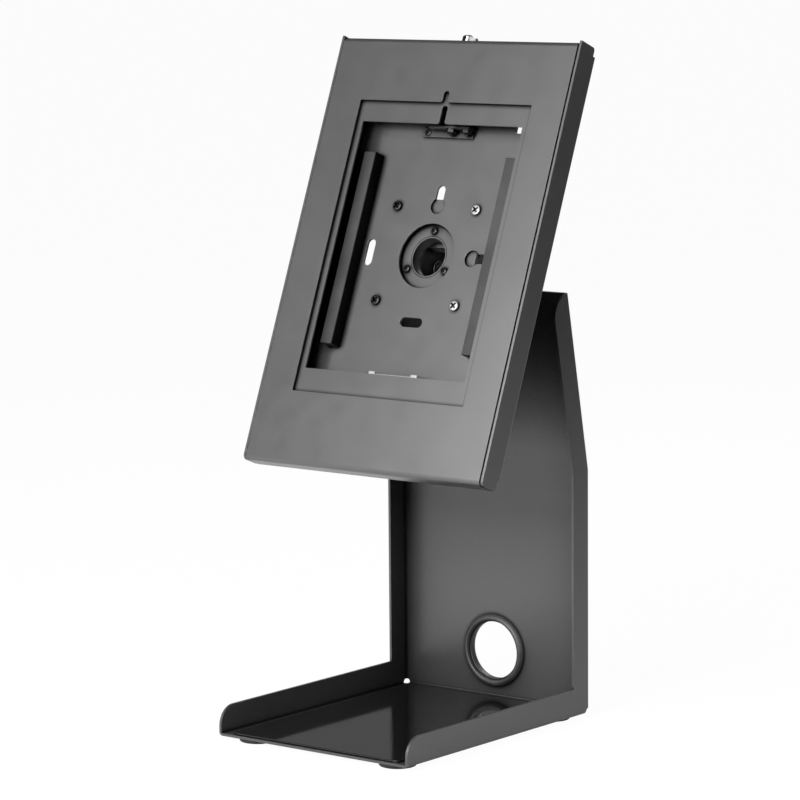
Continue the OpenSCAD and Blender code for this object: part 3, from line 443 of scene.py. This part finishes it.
def turned(tree, radius, height, power, rounds=40, rises=14):
    # a domed, closed head: a grid is wrapped round Z and its edge falls off by a power of the sine
    grid = put(tree, "GeometryNodeMeshGrid", {"Size X": 1.0, "Size Y": 1.0, "Vertices X": rounds + 1,
                                              "Vertices Y": rises})
    spot = put(tree, "ShaderNodeSeparateXYZ", {0: put(tree, "GeometryNodeInputPosition").outputs[0]}).outputs
    angle = calc(tree, "MULTIPLY", calc(tree, "ADD", spot[0], 0.5), 2 * math.pi)
    along = calc(tree, "ADD", spot[1], 0.5)
    # the first fifth is the flat underside, the rest climbs from the rim to the top
    flat = forming["underside"]
    under = calc(tree, "MINIMUM", calc(tree, "MULTIPLY", along, 1 / flat), 1.0)
    climb = calc(tree, "MAXIMUM", calc(tree, "DIVIDE", calc(tree, "SUBTRACT", along, flat), 1 - flat), 0.0)
    bend = calc(tree, "MULTIPLY", climb, math.pi / 2)
    out = calc(tree, "POWER", calc(tree, "MAXIMUM", calc(tree, "COSINE", bend), 0.0), power)
    rise = calc(tree, "POWER", calc(tree, "MAXIMUM", calc(tree, "SINE", bend), 0.0), power)
    reach = calc(tree, "MULTIPLY", calc(tree, "MULTIPLY", under, out), radius)
    target = put(tree, "ShaderNodeCombineXYZ", {
        0: calc(tree, "MULTIPLY", reach, calc(tree, "COSINE", angle)),
        1: calc(tree, "MULTIPLY", reach, calc(tree, "SINE", angle)),
        2: calc(tree, "MULTIPLY", rise, height)}).outputs[0]
    wrapped = put(tree, "GeometryNodeSetPosition", {"Geometry": grid.outputs[0], "Position": target})
    feeds = {"Geometry": wrapped.outputs[0], "Distance": meshing["weld"]}
    return put(tree, "GeometryNodeMergeByDistance", feeds).outputs[0]


def rod(tree, radius, low, high, sides=32):
    length = calc(tree, "SUBTRACT", high, low)
    bar = put(tree, "GeometryNodeMeshCylinder", {"Vertices": sides, "Radius": radius, "Depth": length})
    return moved(tree, bar.outputs[0], midway(tree, low, high))


def block(tree, x, y, low, high):
    size = put(tree, "ShaderNodeCombineXYZ", {0: x, 1: y, 2: calc(tree, "SUBTRACT", high, low)}).outputs[0]
    cube = put(tree, "GeometryNodeMeshCube", {"Size": size})
    return moved(tree, cube.outputs[0], midway(tree, low, high))


def carve(tree, body, *tools):
    cut = put(tree, "GeometryNodeMeshBoolean", {"Mesh 1": body}, operation="DIFFERENCE", solver="EXACT")
    for tool in tools:
        tree.links.new(tool, cut.inputs["Mesh 2"])
    return cut.outputs[0]


def thread(tree, radius, low, high, pitch):
    # one helical ridge along the shank
    length = calc(tree, "SUBTRACT", high, low)
    helix = put(tree, "GeometryNodeCurveSpiral", {
        "Resolution": 24, "Rotations": calc(tree, "DIVIDE", length, pitch), "Start Radius": radius,
        "End Radius": radius, "Height": length})
    width = calc(tree, "MULTIPLY", pitch, forming["ridge"])
    edge = put(tree, "GeometryNodeCurvePrimitiveCircle", {"Resolution": 3, "Radius": width})
    feeds = {"Curve": helix.outputs[0], "Profile Curve": edge.outputs[0], "Fill Caps": True}
    ridge = put(tree, "GeometryNodeCurveToMesh", feeds)
    return moved(tree, ridge.outputs[0], upBy(tree, low))


def joined(tree, *parts):
    node = put(tree, "GeometryNodeJoinGeometry")
    for part in parts:
        tree.links.new(part, node.inputs[0])
    return node.outputs[0]


def handOut(tree, given, end, part, seed, spin=(0, 2 * math.pi)):
    # one copy at each place, each turned by its own seeded angle, then made real
    copies = put(tree, "GeometryNodeInstanceOnPoints", {"Points": given["Places"], "Instance": part})
    feeds = {2: spin[0], 3: spin[1], "Seed": seed}
    angle = put(tree, "FunctionNodeRandomValue", feeds, data_type="FLOAT").outputs[1]
    feeds = {"Instances": copies.outputs[0], "Rotation": upBy(tree, angle)}
    spun = put(tree, "GeometryNodeRotateInstances", feeds)
    real = put(tree, "GeometryNodeRealizeInstances", {0: spun.outputs[0]})
    flat = put(tree, "GeometryNodeSetShadeSmooth", {0: real.outputs[0], "Shade Smooth": False})
    feeds = {"Geometry": flat.outputs[0], "Material": given["Finish"]}
    painted = put(tree, "GeometryNodeSetMaterial", feeds)
    tree.links.new(painted.outputs[0], end.inputs[0])
    return tree


def domedHead(tree, given):
    # the head, and the two heights between which its drive is cut
    head = turned(tree, given["Head radius"], given["Head height"], given["Roundness"])
    floor = calc(tree, "SUBTRACT", given["Head height"], given["Drive depth"])
    top = calc(tree, "MULTIPLY", given["Head height"], forming["cutterTop"])
    return head, floor, top


def threadedShank(tree, given):
    pitch = given["Pitch"]
    low = calc(tree, "MULTIPLY", given["Length"], -1.0)
    core = calc(tree, "SUBTRACT", given["Shank radius"], calc(tree, "MULTIPLY", pitch, forming["ridge"]))
    shank = rod(tree, core, low, calc(tree, "MULTIPLY", pitch, forming["coreEnd"]))
    ridgeTop = calc(tree, "MULTIPLY", pitch, forming["ridgeEnd"])
    ridge = thread(tree, core, calc(tree, "ADD", low, pitch), ridgeTop, pitch)
    return shank, ridge


def crossScrewTree():
    tree, given, end = newTree("crossScrew", {
        "Head radius": 0.004, "Head height": 0.0024, "Roundness": 0.45, "Shank radius": 0.00195,
        "Length": 0.0075, "Pitch": 0.0007, "Drive size": 0.0046, "Drive width": 0.0009,
        "Drive depth": 0.0015})
    head, floor, top = domedHead(tree, given)
    length, width = given["Drive size"], given["Drive width"]
    middle = calc(tree, "MULTIPLY", width, forming["crossRound"])
    head = carve(tree, head, block(tree, length, width, floor, top), block(tree, width, length, floor, top),
                 rod(tree, middle, floor, top, sides=16))
    whole = joined(tree, head, *threadedShank(tree, given))
    return handOut(tree, given, end, whole, seed=7, spin=(0.6, 0.95))


def socketBoltTree():
    tree, given, end = newTree("socketBolt", {
        "Head radius": 0.0063, "Head height": 0.0035, "Roundness": 0.3, "Shank radius": 0.003,
        "Length": 0.017, "Pitch": 0.001, "Drive size": 0.0023, "Drive depth": 0.0018})
    head, floor, top = domedHead(tree, given)
    head = carve(tree, head, rod(tree, given["Drive size"], floor, top, sides=6))
    return handOut(tree, given, end, joined(tree, head, *threadedShank(tree, given)), seed=11)


def nutTree():
    tree, given, end = newTree("hexNut", {"Across": 0.008, "Height": 0.004, "Bore radius": 0.00255})
    corner = calc(tree, "DIVIDE", given["Across"], 2 * math.cos(math.pi / 6))
    prism = rod(tree, corner, 0.0, given["Height"], sides=6)
    # the corners are turned off where the prism leaves a pair of shallow cones that meet at mid height
    form = {"faceRadius": 0.485, "slope": 1.7, "sides": 48}
    half = calc(tree, "MULTIPLY", given["Height"], 0.5)
    narrow = calc(tree, "MULTIPLY", given["Across"], form["faceRadius"])
    wide = calc(tree, "ADD", narrow, calc(tree, "MULTIPLY", half, form["slope"]))
    cones = []
    for bottom, top, lift in ((narrow, wide, 0.0), (wide, narrow, half)):
        feeds = {"Vertices": form["sides"], "Radius Bottom": bottom, "Radius Top": top, "Depth": half}
        cone = put(tree, "GeometryNodeMeshCone", feeds)
        cones.append(moved(tree, cone.outputs[0], upBy(tree, lift)))
    barrel = put(tree, "GeometryNodeConvexHull", {0: joined(tree, *cones)})
    shared = put(tree, "GeometryNodeMeshBoolean", {}, operation="INTERSECT", solver="EXACT")
    tree.links.new(prism, shared.inputs["Mesh 2"])
    tree.links.new(barrel.outputs[0], shared.inputs["Mesh 2"])
    bore = rod(tree, given["Bore radius"], -mm, calc(tree, "ADD", given["Height"], mm))
    return handOut(tree, given, end, carve(tree, shared.outputs[0], bore), seed=3)


def rivetTree():
    tree, given, end = newTree("panelRivet", {
        "Head radius": 0.0028, "Head height": 0.001, "Shank radius": 0.0015, "Length": 0.004,
        "Mandrel radius": 0.0009})
    form = {"headPower": 0.6, "holeFloor": 0.55, "lap": 0.0001, "bulbRadius": 1.4, "bulbHeight": 0.0007,
            "bulbPower": 0.7}
    head = turned(tree, given["Head radius"], given["Head height"], form["headPower"], rounds=32, rises=12)
    floor = calc(tree, "MULTIPLY", given["Head height"], form["holeFloor"])
    top = calc(tree, "MULTIPLY", given["Head height"], forming["cutterTop"])
    head = carve(tree, head, rod(tree, given["Mandrel radius"], floor, top, sides=16))
    tail = calc(tree, "MULTIPLY", given["Length"], -1.0)
    shank = rod(tree, given["Shank radius"], tail, form["lap"], sides=24)
    bulbRadius = calc(tree, "MULTIPLY", given["Shank radius"], form["bulbRadius"])
    bulb = turned(tree, bulbRadius, form["bulbHeight"], form["bulbPower"], rounds=24, rises=10)
    flipped = moved(tree, bulb, upBy(tree, tail), (math.pi, 0, 0))
    return handOut(tree, given, end, joined(tree, head, shank, flipped), seed=5)


trees = {"screw": crossScrewTree(), "bolt": socketBoltTree(), "nut": nutTree(), "rivet": rivetTree()}


def grow(name, treeName, spots, matrices, sizes, node, finish=None):
    # spots are places in mm in a frame whose Z is the fastener's axis; each frame gets them all
    finish = finish or finishes[slotOf[node]]
    tree = trees[treeName]
    bm = bmesh.new()
    for matrix in matrices:
        mesh = bpy.data.meshes.new(name)
        mesh.from_pydata([[c * mm for c in spot] for spot in spots], [], [])
        grown = asObject(name + ".grown", mesh)
        modifier = grown.modifiers.new("grow", "NODES")
        modifier.node_group = tree
        for item in tree.interface.items_tree:
            if item.in_out == "INPUT" and item.name == "Finish":
                modifier[item.identifier] = finish
            elif item.in_out == "INPUT" and item.name in sizes:
                modifier[item.identifier] = sizes[item.name] * (1 if item.name == "Roundness" else mm)
        applied(grown)
        grown.data.transform(matrix)
        bm.from_mesh(grown.data)
        bpy.data.objects.remove(grown)
    mesh = bpy.data.meshes.new(name)
    bm.to_mesh(mesh)
    bm.free()
    smoothUnder(mesh, meshing["grownSmooth"])
    settle(asObject(name, mesh), node)


def facing(spots):
    # places given as (x, depth, height) in a frame whose Z then points out of the screen
    return [(x, z, -y) for x, y, z in spots]


def backing(spots):
    # the same in a frame whose Z points to the back
    return [(x, -z, y) for x, y, z in spots]


print("stand: node trees made")

# Sheet, turned and small formed parts: the width of their eased edges in mm

easedWidth = {"stand_frame": 0.45, "tray_liner": 0.3, "head_bracket": 0.5, "swivel_hub": 0.7,
              "retaining_ring": 0.3, "vesa_plate": 0.35, "back_box": 0.35, "front_cover": 0.8,
              "insert_plate": 0.5, "lower_saddle": 0.2, "upper_bracket": 0.25, "lock_cam": 0.2,
              "lock_catch": 0.25, "swivel_stop_pin": 0.25, "lock_barrel": 0.2, "lock_plug": 0.12}
for nodeName, width in easedWidth.items():
    eased(nodeName, width, paintedShadeCoats.get(nodeName))
print("stand: sheet parts eased")

# Feet

footShape = {"radius": 14.0, "height": 4.0, "edge": 1.3, "edgeSteps": 6, "topEdge": (0.25, 0.6),
             "dimple": 4.5, "dimpleWall": 0.5, "dimpleDepth": 0.7, "x": 67, "y": 95.5, "rounds": 64}
wide, high, edge, dimple = (footShape[k] for k in ("radius", "height", "edge", "dimple"))
outline = [(0.0, footShape["dimpleDepth"]), (dimple - footShape["dimpleWall"], footShape["dimpleDepth"]),
           (dimple, 0.0)]
for step in range(footShape["edgeSteps"] + 1):
    angle = math.radians(90 * step / footShape["edgeSteps"] - 90)
    outline.append((wide - edge * (1 - math.cos(angle)), edge * (1 + math.sin(angle))))
bevel, inset = footShape["topEdge"]
outline += [(wide - bevel, high - bevel), (wide - inset, high), (0.0, high)]
for depthName, y in (("front", -footShape["y"]), ("rear", footShape["y"])):
    for sideName, x in (("left", -footShape["x"]), ("right", footShape["x"])):
        node = "foot_" + depthName + "_" + sideName
        settle(lathe(node + ".moulded", outline, shifted(x, y, 0), footShape["rounds"], closed=False), node)

# Cable grommet: the front lip's section is radius, then height in front of the post's outer face, in mm

grommetShape = {
    "front": ((22.5, -0.2), (22.55, 0.3), (22.75, 0.7), (23.05, 0.9), (23.4, 0.8), (23.6, 0.5), (23.8, 0.5),
              (23.85, 1.0), (23.8, 1.8), (23.85, 2.7), (24.05, 3.3), (24.4, 3.75), (24.9, 3.97), (25.5, 4.0),
              (26.2, 3.85), (26.9, 3.5), (27.55, 2.95), (28.1, 2.3), (28.55, 1.55), (28.85, 0.85),
              (28.97, 0.3), (28.85, 0.0)),
    "bore": 22.5, "lip": 29.0, "neck": 24.8, "neckEdge": (0.6, 0.3), "rear": 4.0, "rearPower": 0.62,
    "rearSteps": 9, "sheet": 2.0, "place": (0, 111.5, 43), "rounds": 128,
}


def lipCurve(bore, lip, thick, steps, power):
    # from the bore's rim over the crown to the outer rim, as (radius, height)
    middle = (bore + lip) / 2
    half = (lip - bore) / 2
    curve = []
    for step in range(steps + 1):
        angle = math.pi * step / steps
        c, s = math.cos(angle), math.sin(angle)
        curve.append((middle - half * math.copysign(abs(c) ** power, c), thick * abs(s) ** power))
    return curve


neck, sheet = grommetShape["neck"], grommetShape["sheet"]
flare, chamfer = grommetShape["neckEdge"]
outline = [(r, -z) for r, z in grommetShape["front"]]
outline += [(neck + flare, 0.0), (neck, chamfer), (neck, sheet - chamfer), (neck + flare, sheet)]
rearLip = lipCurve(*(grommetShape[k] for k in ("bore", "lip", "rear", "rearSteps", "rearPower")))
outline += [(r, sheet + z) for r, z in reversed(rearLip)]
grommetFrame = shifted(*grommetShape["place"]) @ faceBack
settle(lathe("cableGrommet", outline, grommetFrame, grommetShape["rounds"]), "cable_grommet")

# Fasteners: places and sizes in mm

bracketSpots = {"side": 14, "rows": (129, 107), "nutDepth": -5}
pairs = [(x, z) for x in (-bracketSpots["side"], bracketSpots["side"]) for z in bracketSpots["rows"]]
grow("bracketScrews", "screw", backing([(x, 0, z) for x, z in pairs]), [postFrame @ faceBack],
     {"Head radius": 4.75, "Head height": 2.75, "Shank radius": 2.5, "Length": 10, "Pitch": 0.8,
      "Drive size": 5.4, "Drive width": 1.1, "Drive depth": 1.8}, "bracket_screws")
grow("bracketNuts", "nut", facing([(x, bracketSpots["nutDepth"], z) for x, z in pairs]),
     [postFrame @ faceOut], {"Across": 8, "Height": 4, "Bore radius": 2.3}, "bracket_nuts")

pivotSpots = {"pivot": (0, -19.8, 157.6), "headFrom": 27, "nutFrom": 11}
pivots = [postFrame @ shifted(*pivotSpots["pivot"]) @ rotated(angle, "Y") for angle in (90, -90)]
grow("tiltBolts", "bolt", [(0, 0, pivotSpots["headFrom"])], pivots,
     {"Head radius": 6.3, "Head height": 3.5, "Shank radius": 3, "Length": 17, "Pitch": 1.0,
      "Drive size": 2.3, "Drive depth": 1.8}, "tilt_bolts", oxidePaintedShade)
grow("tiltNuts", "nut", [(0, 0, pivotSpots["nutFrom"])], pivots,
     {"Across": 10, "Height": 5, "Bore radius": 2.8}, "tilt_nuts", oxidePaintedShade)
washerEdge = {"tilt_spring_washers": 0.15, "tilt_friction_washers": 0.15, "front_swivel_washer": 0.15,
              "rear_swivel_washer": 0.15}
for nodeName, width in washerEdge.items():
    eased(nodeName, width)

ringSpots = {"radius": 20.5, "depth": 23.3, "turns": (0, 120, 240)}
angles = [math.radians(turn) for turn in ringSpots["turns"]]
out, depth = ringSpots["radius"], ringSpots["depth"]
spots = [(out * math.sin(angle), depth, out * math.cos(angle)) for angle in angles]
grow("ringScrews", "screw", facing(spots), [caseOut],
     {"Head radius": 3, "Head height": 1.8, "Roundness": 0.6, "Shank radius": 1.45, "Length": 7,
      "Pitch": 0.5, "Drive size": 3.3, "Drive width": 0.75, "Drive depth": 1.1}, "ring_screws")

vesaSpots = {"half": 37.5, "depth": 20}
half, depth = vesaSpots["half"], vesaSpots["depth"]
for screwName, x, node in (("blackVesaScrews", -half, "black_vesa_screws"),
                           ("zincVesaScrews", half, "zinc_vesa_screws")):
    spots = [(x, depth, z) for z in (-half, half)]
    grow(screwName, "screw", facing(spots), [caseOut],
         {"Head radius": 4, "Head height": 2.4, "Roundness": 0.3, "Shank radius": 1.95, "Length": 7.5,
          "Pitch": 0.7, "Drive size": 5.6, "Drive width": 1.5, "Drive depth": 1.8}, node)

insertSpots = {"side": 88, "rows": (-100, 100), "depth": 3.5}
pairs = [(x, z) for x in (-insertSpots["side"], insertSpots["side"]) for z in insertSpots["rows"]]
grow("insertNuts", "nut", backing([(x, insertSpots["depth"], z) for x, z in pairs]), [caseFrame @ faceBack],
     {"Across": 5.5, "Height": 2.4, "Bore radius": 1.5}, "insert_nuts")

# two rivets in the bridge below the window, two in the bracket above it
rivetSpots = [(-27.5, 18.8, -100.9), (27.5, 18.8, -100.9), (-23.9, 18.5, 96.5), (23.9, 18.5, 115)]
grow("panelRivets", "rivet", facing(rivetSpots), [caseOut],
     {"Head radius": 2.8, "Head height": 1.0, "Shank radius": 1.5, "Length": 4.0, "Mandrel radius": 0.9},
     "panel_rivets")

boltSpots = {"across": (1, 16), "depth": 14.8, "headFrom": 100.0, "nutFrom": 95.3}
grow("upperBolts", "bolt", [(x, boltSpots["depth"], boltSpots["headFrom"]) for x in boltSpots["across"]],
     [caseFrame],
     {"Head radius": 3.5, "Head height": 2.6, "Roundness": 0.4, "Shank radius": 1.95, "Length": 6.1,
      "Pitch": 0.7, "Drive size": 1.7, "Drive depth": 1.4}, "upper_bracket_bolts")
grow("upperBoltNuts", "nut", [(x, boltSpots["depth"], boltSpots["nutFrom"]) for x in boltSpots["across"]],
     [caseFrame], {"Across": 7, "Height": 3.2, "Bore radius": 1.9}, "upper_bracket_bolts")

lockSpots = {"depth": 13, "nutFrom": 156.1, "camNutFrom": 139.9}
grow("lockNut", "nut", [(0, lockSpots["depth"], lockSpots["nutFrom"])], [caseFrame],
     {"Across": 12, "Height": 5, "Bore radius": 5.05}, "lock_nut")
grow("camNut", "nut", [(0, lockSpots["depth"], lockSpots["camNutFrom"])], [caseFrame],
     {"Across": 7, "Height": 3, "Bore radius": 1.9}, "cam_nut")
print("stand: fasteners grown")

# Spacer bars

barShape = {"out": 67.5, "width": 11.0, "front": 8.5, "back": 20.0, "half": 76.5, "bevel": 0.9,
            "bevelSteps": 3}
middle, thick = (barShape["front"] + barShape["back"]) / 2, barShape["back"] - barShape["front"]
for barName, node, side in (("leftSpacerBar", "left_spacer_bar", -1),
                            ("rightSpacerBar", "right_spacer_bar", 1)):
    bm = bmesh.new()
    bmesh.ops.create_cube(bm, size=1.0)
    for v in bm.verts:
        v.co = Vector((side * barShape["out"] + v.co.x * barShape["width"], middle + v.co.y * thick,
                       v.co.z * 2 * barShape["half"])) * mm
    face = barShape["front"] * mm
    frontEdges = [e for e in bm.edges if all(abs(v.co.y - face) < meshing["weld"] for v in e.verts)]
    bmesh.ops.bevel(bm, geom=frontEdges, offset=barShape["bevel"] * mm, segments=barShape["bevelSteps"],
                    profile=0.5, affect="EDGES")
    bmesh.ops.recalc_face_normals(bm, faces=bm.faces)
    mesh = bpy.data.meshes.new(barName)
    bm.to_mesh(mesh)
    bm.free()
    mesh.transform(caseFrame)
    smoothUnder(mesh, meshing["turnedSmooth"])
    settle(asObject(barName, mesh), node)
print("stand: spacer bars made")

# Floor and light: each lamp is a soft box at the same distance from the aim, placed by its angle left of
# the front and its height angle, with its power in watts

studio = {
    "floorShade": 0.86, "floorReach": 40.0, "floorGlow": 0.97, "floorRough": 0.8, "floorShine": 0.1,
    "nearGlow": 0.4, "nearReach": (1.1, 1.7),
    "ambient": 0.02, "glowFrom": 0.3, "glows": (((1, -0.3, 0.2), 1.0), ((0, 1, 0.3), 0.25)),
    "aim": (0, 0, 0.36), "distance": 1.8, "boxSize": 0.6,
    "lamps": {"leftBox": (20, 20, 20.0), "middleBox": (-10, 20, 60.0), "highBox": (20, 38, 7.0),
              "lowBox": (20, 0, 6.0), "sideBox": (-57, 14, 5.0), "rearBox": (170, 32, 14.0)},
}

reach = studio["floorReach"]
corners = [(-reach, -reach, 0), (reach, -reach, 0), (reach, reach, 0), (-reach, reach, 0)]
floorMesh = bpy.data.meshes.new("floor")
floorMesh.from_pydata(corners, [], [(0, 1, 2, 3)])
floor = asObject("floor", floorMesh)
floorLook = {"sockets": {"Base Color": (studio["floorShade"],) * 3 + (1,), "Roughness": studio["floorRough"],
                         "Specular IOR Level": studio["floorShine"]}}
floorFinish, tree, skin, where = newFinish("paleFloor", floorLook)
glow = put(tree, "ShaderNodeEmission", {"Strength": 1.0})
path = put(tree, "ShaderNodeLightPath").outputs
share = calc(tree, "MULTIPLY", path["Is Camera Ray"], studio["floorGlow"])
# painted light: in reflections the floor near the stand glows, fading out between the two reaches, as a lit
# sweep would
fromMiddle = put(tree, "ShaderNodeVectorMath", {0: where}, operation="LENGTH").outputs["Value"]
paintedFloorGlow = spread(tree, fromMiddle, *studio["nearReach"], studio["nearGlow"], 0)
share = calc(tree, "ADD", share, calc(tree, "MULTIPLY", path["Is Glossy Ray"], paintedFloorGlow))
blendIn = put(tree, "ShaderNodeMixShader", {0: share, 1: skin.outputs[0], 2: glow.outputs[0]})
tree.links.new(blendIn.outputs[0], tree.nodes["Material Output"].inputs["Surface"])
floorMesh.materials.append(floorFinish)

# The room is white to the eye; the object sees it dark, with two broad glows in its gloss
world = bpy.data.worlds.new("studio")
bpy.context.scene.world = world
world.use_nodes = True
tree = world.node_tree
path = put(tree, "ShaderNodeLightPath").outputs
direction = put(tree, "ShaderNodeTexCoord").outputs["Object"]
room = studio["ambient"]
for heading, brightness in studio["glows"]:
    aimed = put(tree, "ShaderNodeVectorMath", {0: direction, 1: Vector(heading).normalized()},
                operation="DOT_PRODUCT").outputs["Value"]
    feeds = {0: aimed, 1: studio["glowFrom"], 2: 1.0, 3: 0.0, 4: brightness}
    glowing = put(tree, "ShaderNodeMapRange", feeds, interpolation_type="SMOOTHSTEP").outputs[0]
    room = calc(tree, "ADD", room, calc(tree, "MULTIPLY", glowing, path["Is Glossy Ray"]))
seen = calc(tree, "MAXIMUM", path["Is Camera Ray"], path["Is Transmission Ray"])
back = tree.nodes["Background"]
back.inputs["Color"].default_value = (1, 1, 1, 1)
tree.links.new(calc(tree, "MAXIMUM", seen, room), back.inputs["Strength"])


def softbox(name, across, up, power):
    lamp = bpy.data.lights.new(name, "AREA")
    lamp.size = studio["boxSize"]
    lamp.energy = power
    across, up = math.radians(across), math.radians(up)
    away = Vector((-math.cos(up) * math.sin(across), -math.cos(up) * math.cos(across), math.sin(up)))
    obj = asObject(name, lamp)
    obj.location = away * studio["distance"] + Vector(studio["aim"])
    obj.rotation_euler = away.to_track_quat("Z", "Y").to_euler()
    obj.visible_camera = False


for lampName, (across, up, power) in studio["lamps"].items():
    softbox(lampName, across, up, power)

# Camera: where it stands in metres, how it is turned in degrees, and its lens in mm

view = {"place": (1.68097, -2.12437, 0.62012), "turn": 38.42, "down": 7.72, "roll": -0.47,
        "lens": 163.613, "sensor": 36, "nearest": 0.05}
turn, down, roll = (math.radians(view[k]) for k in ("turn", "down", "roll"))
ahead = Vector((-math.sin(turn) * math.cos(down), math.cos(turn) * math.cos(down), -math.sin(down)))
level = Vector((math.cos(turn), math.sin(turn), 0))
overhead = level.cross(ahead)
right = level * math.cos(roll) + overhead * math.sin(roll)
upward = overhead * math.cos(roll) - level * math.sin(roll)
cameraData = bpy.data.cameras.new("photoCamera")
cameraData.sensor_width = view["sensor"]
cameraData.lens = view["lens"]
cameraData.clip_start = view["nearest"]
camera = asObject("photoCamera", cameraData)
facingIt = Matrix((right, upward, -ahead)).transposed().to_4x4()
camera.matrix_world = Matrix.Translation(view["place"]) @ facingIt
bpy.context.scene.camera = camera
bpy.context.scene.view_settings.view_transform = "Standard"
print("stand: stage and camera set")
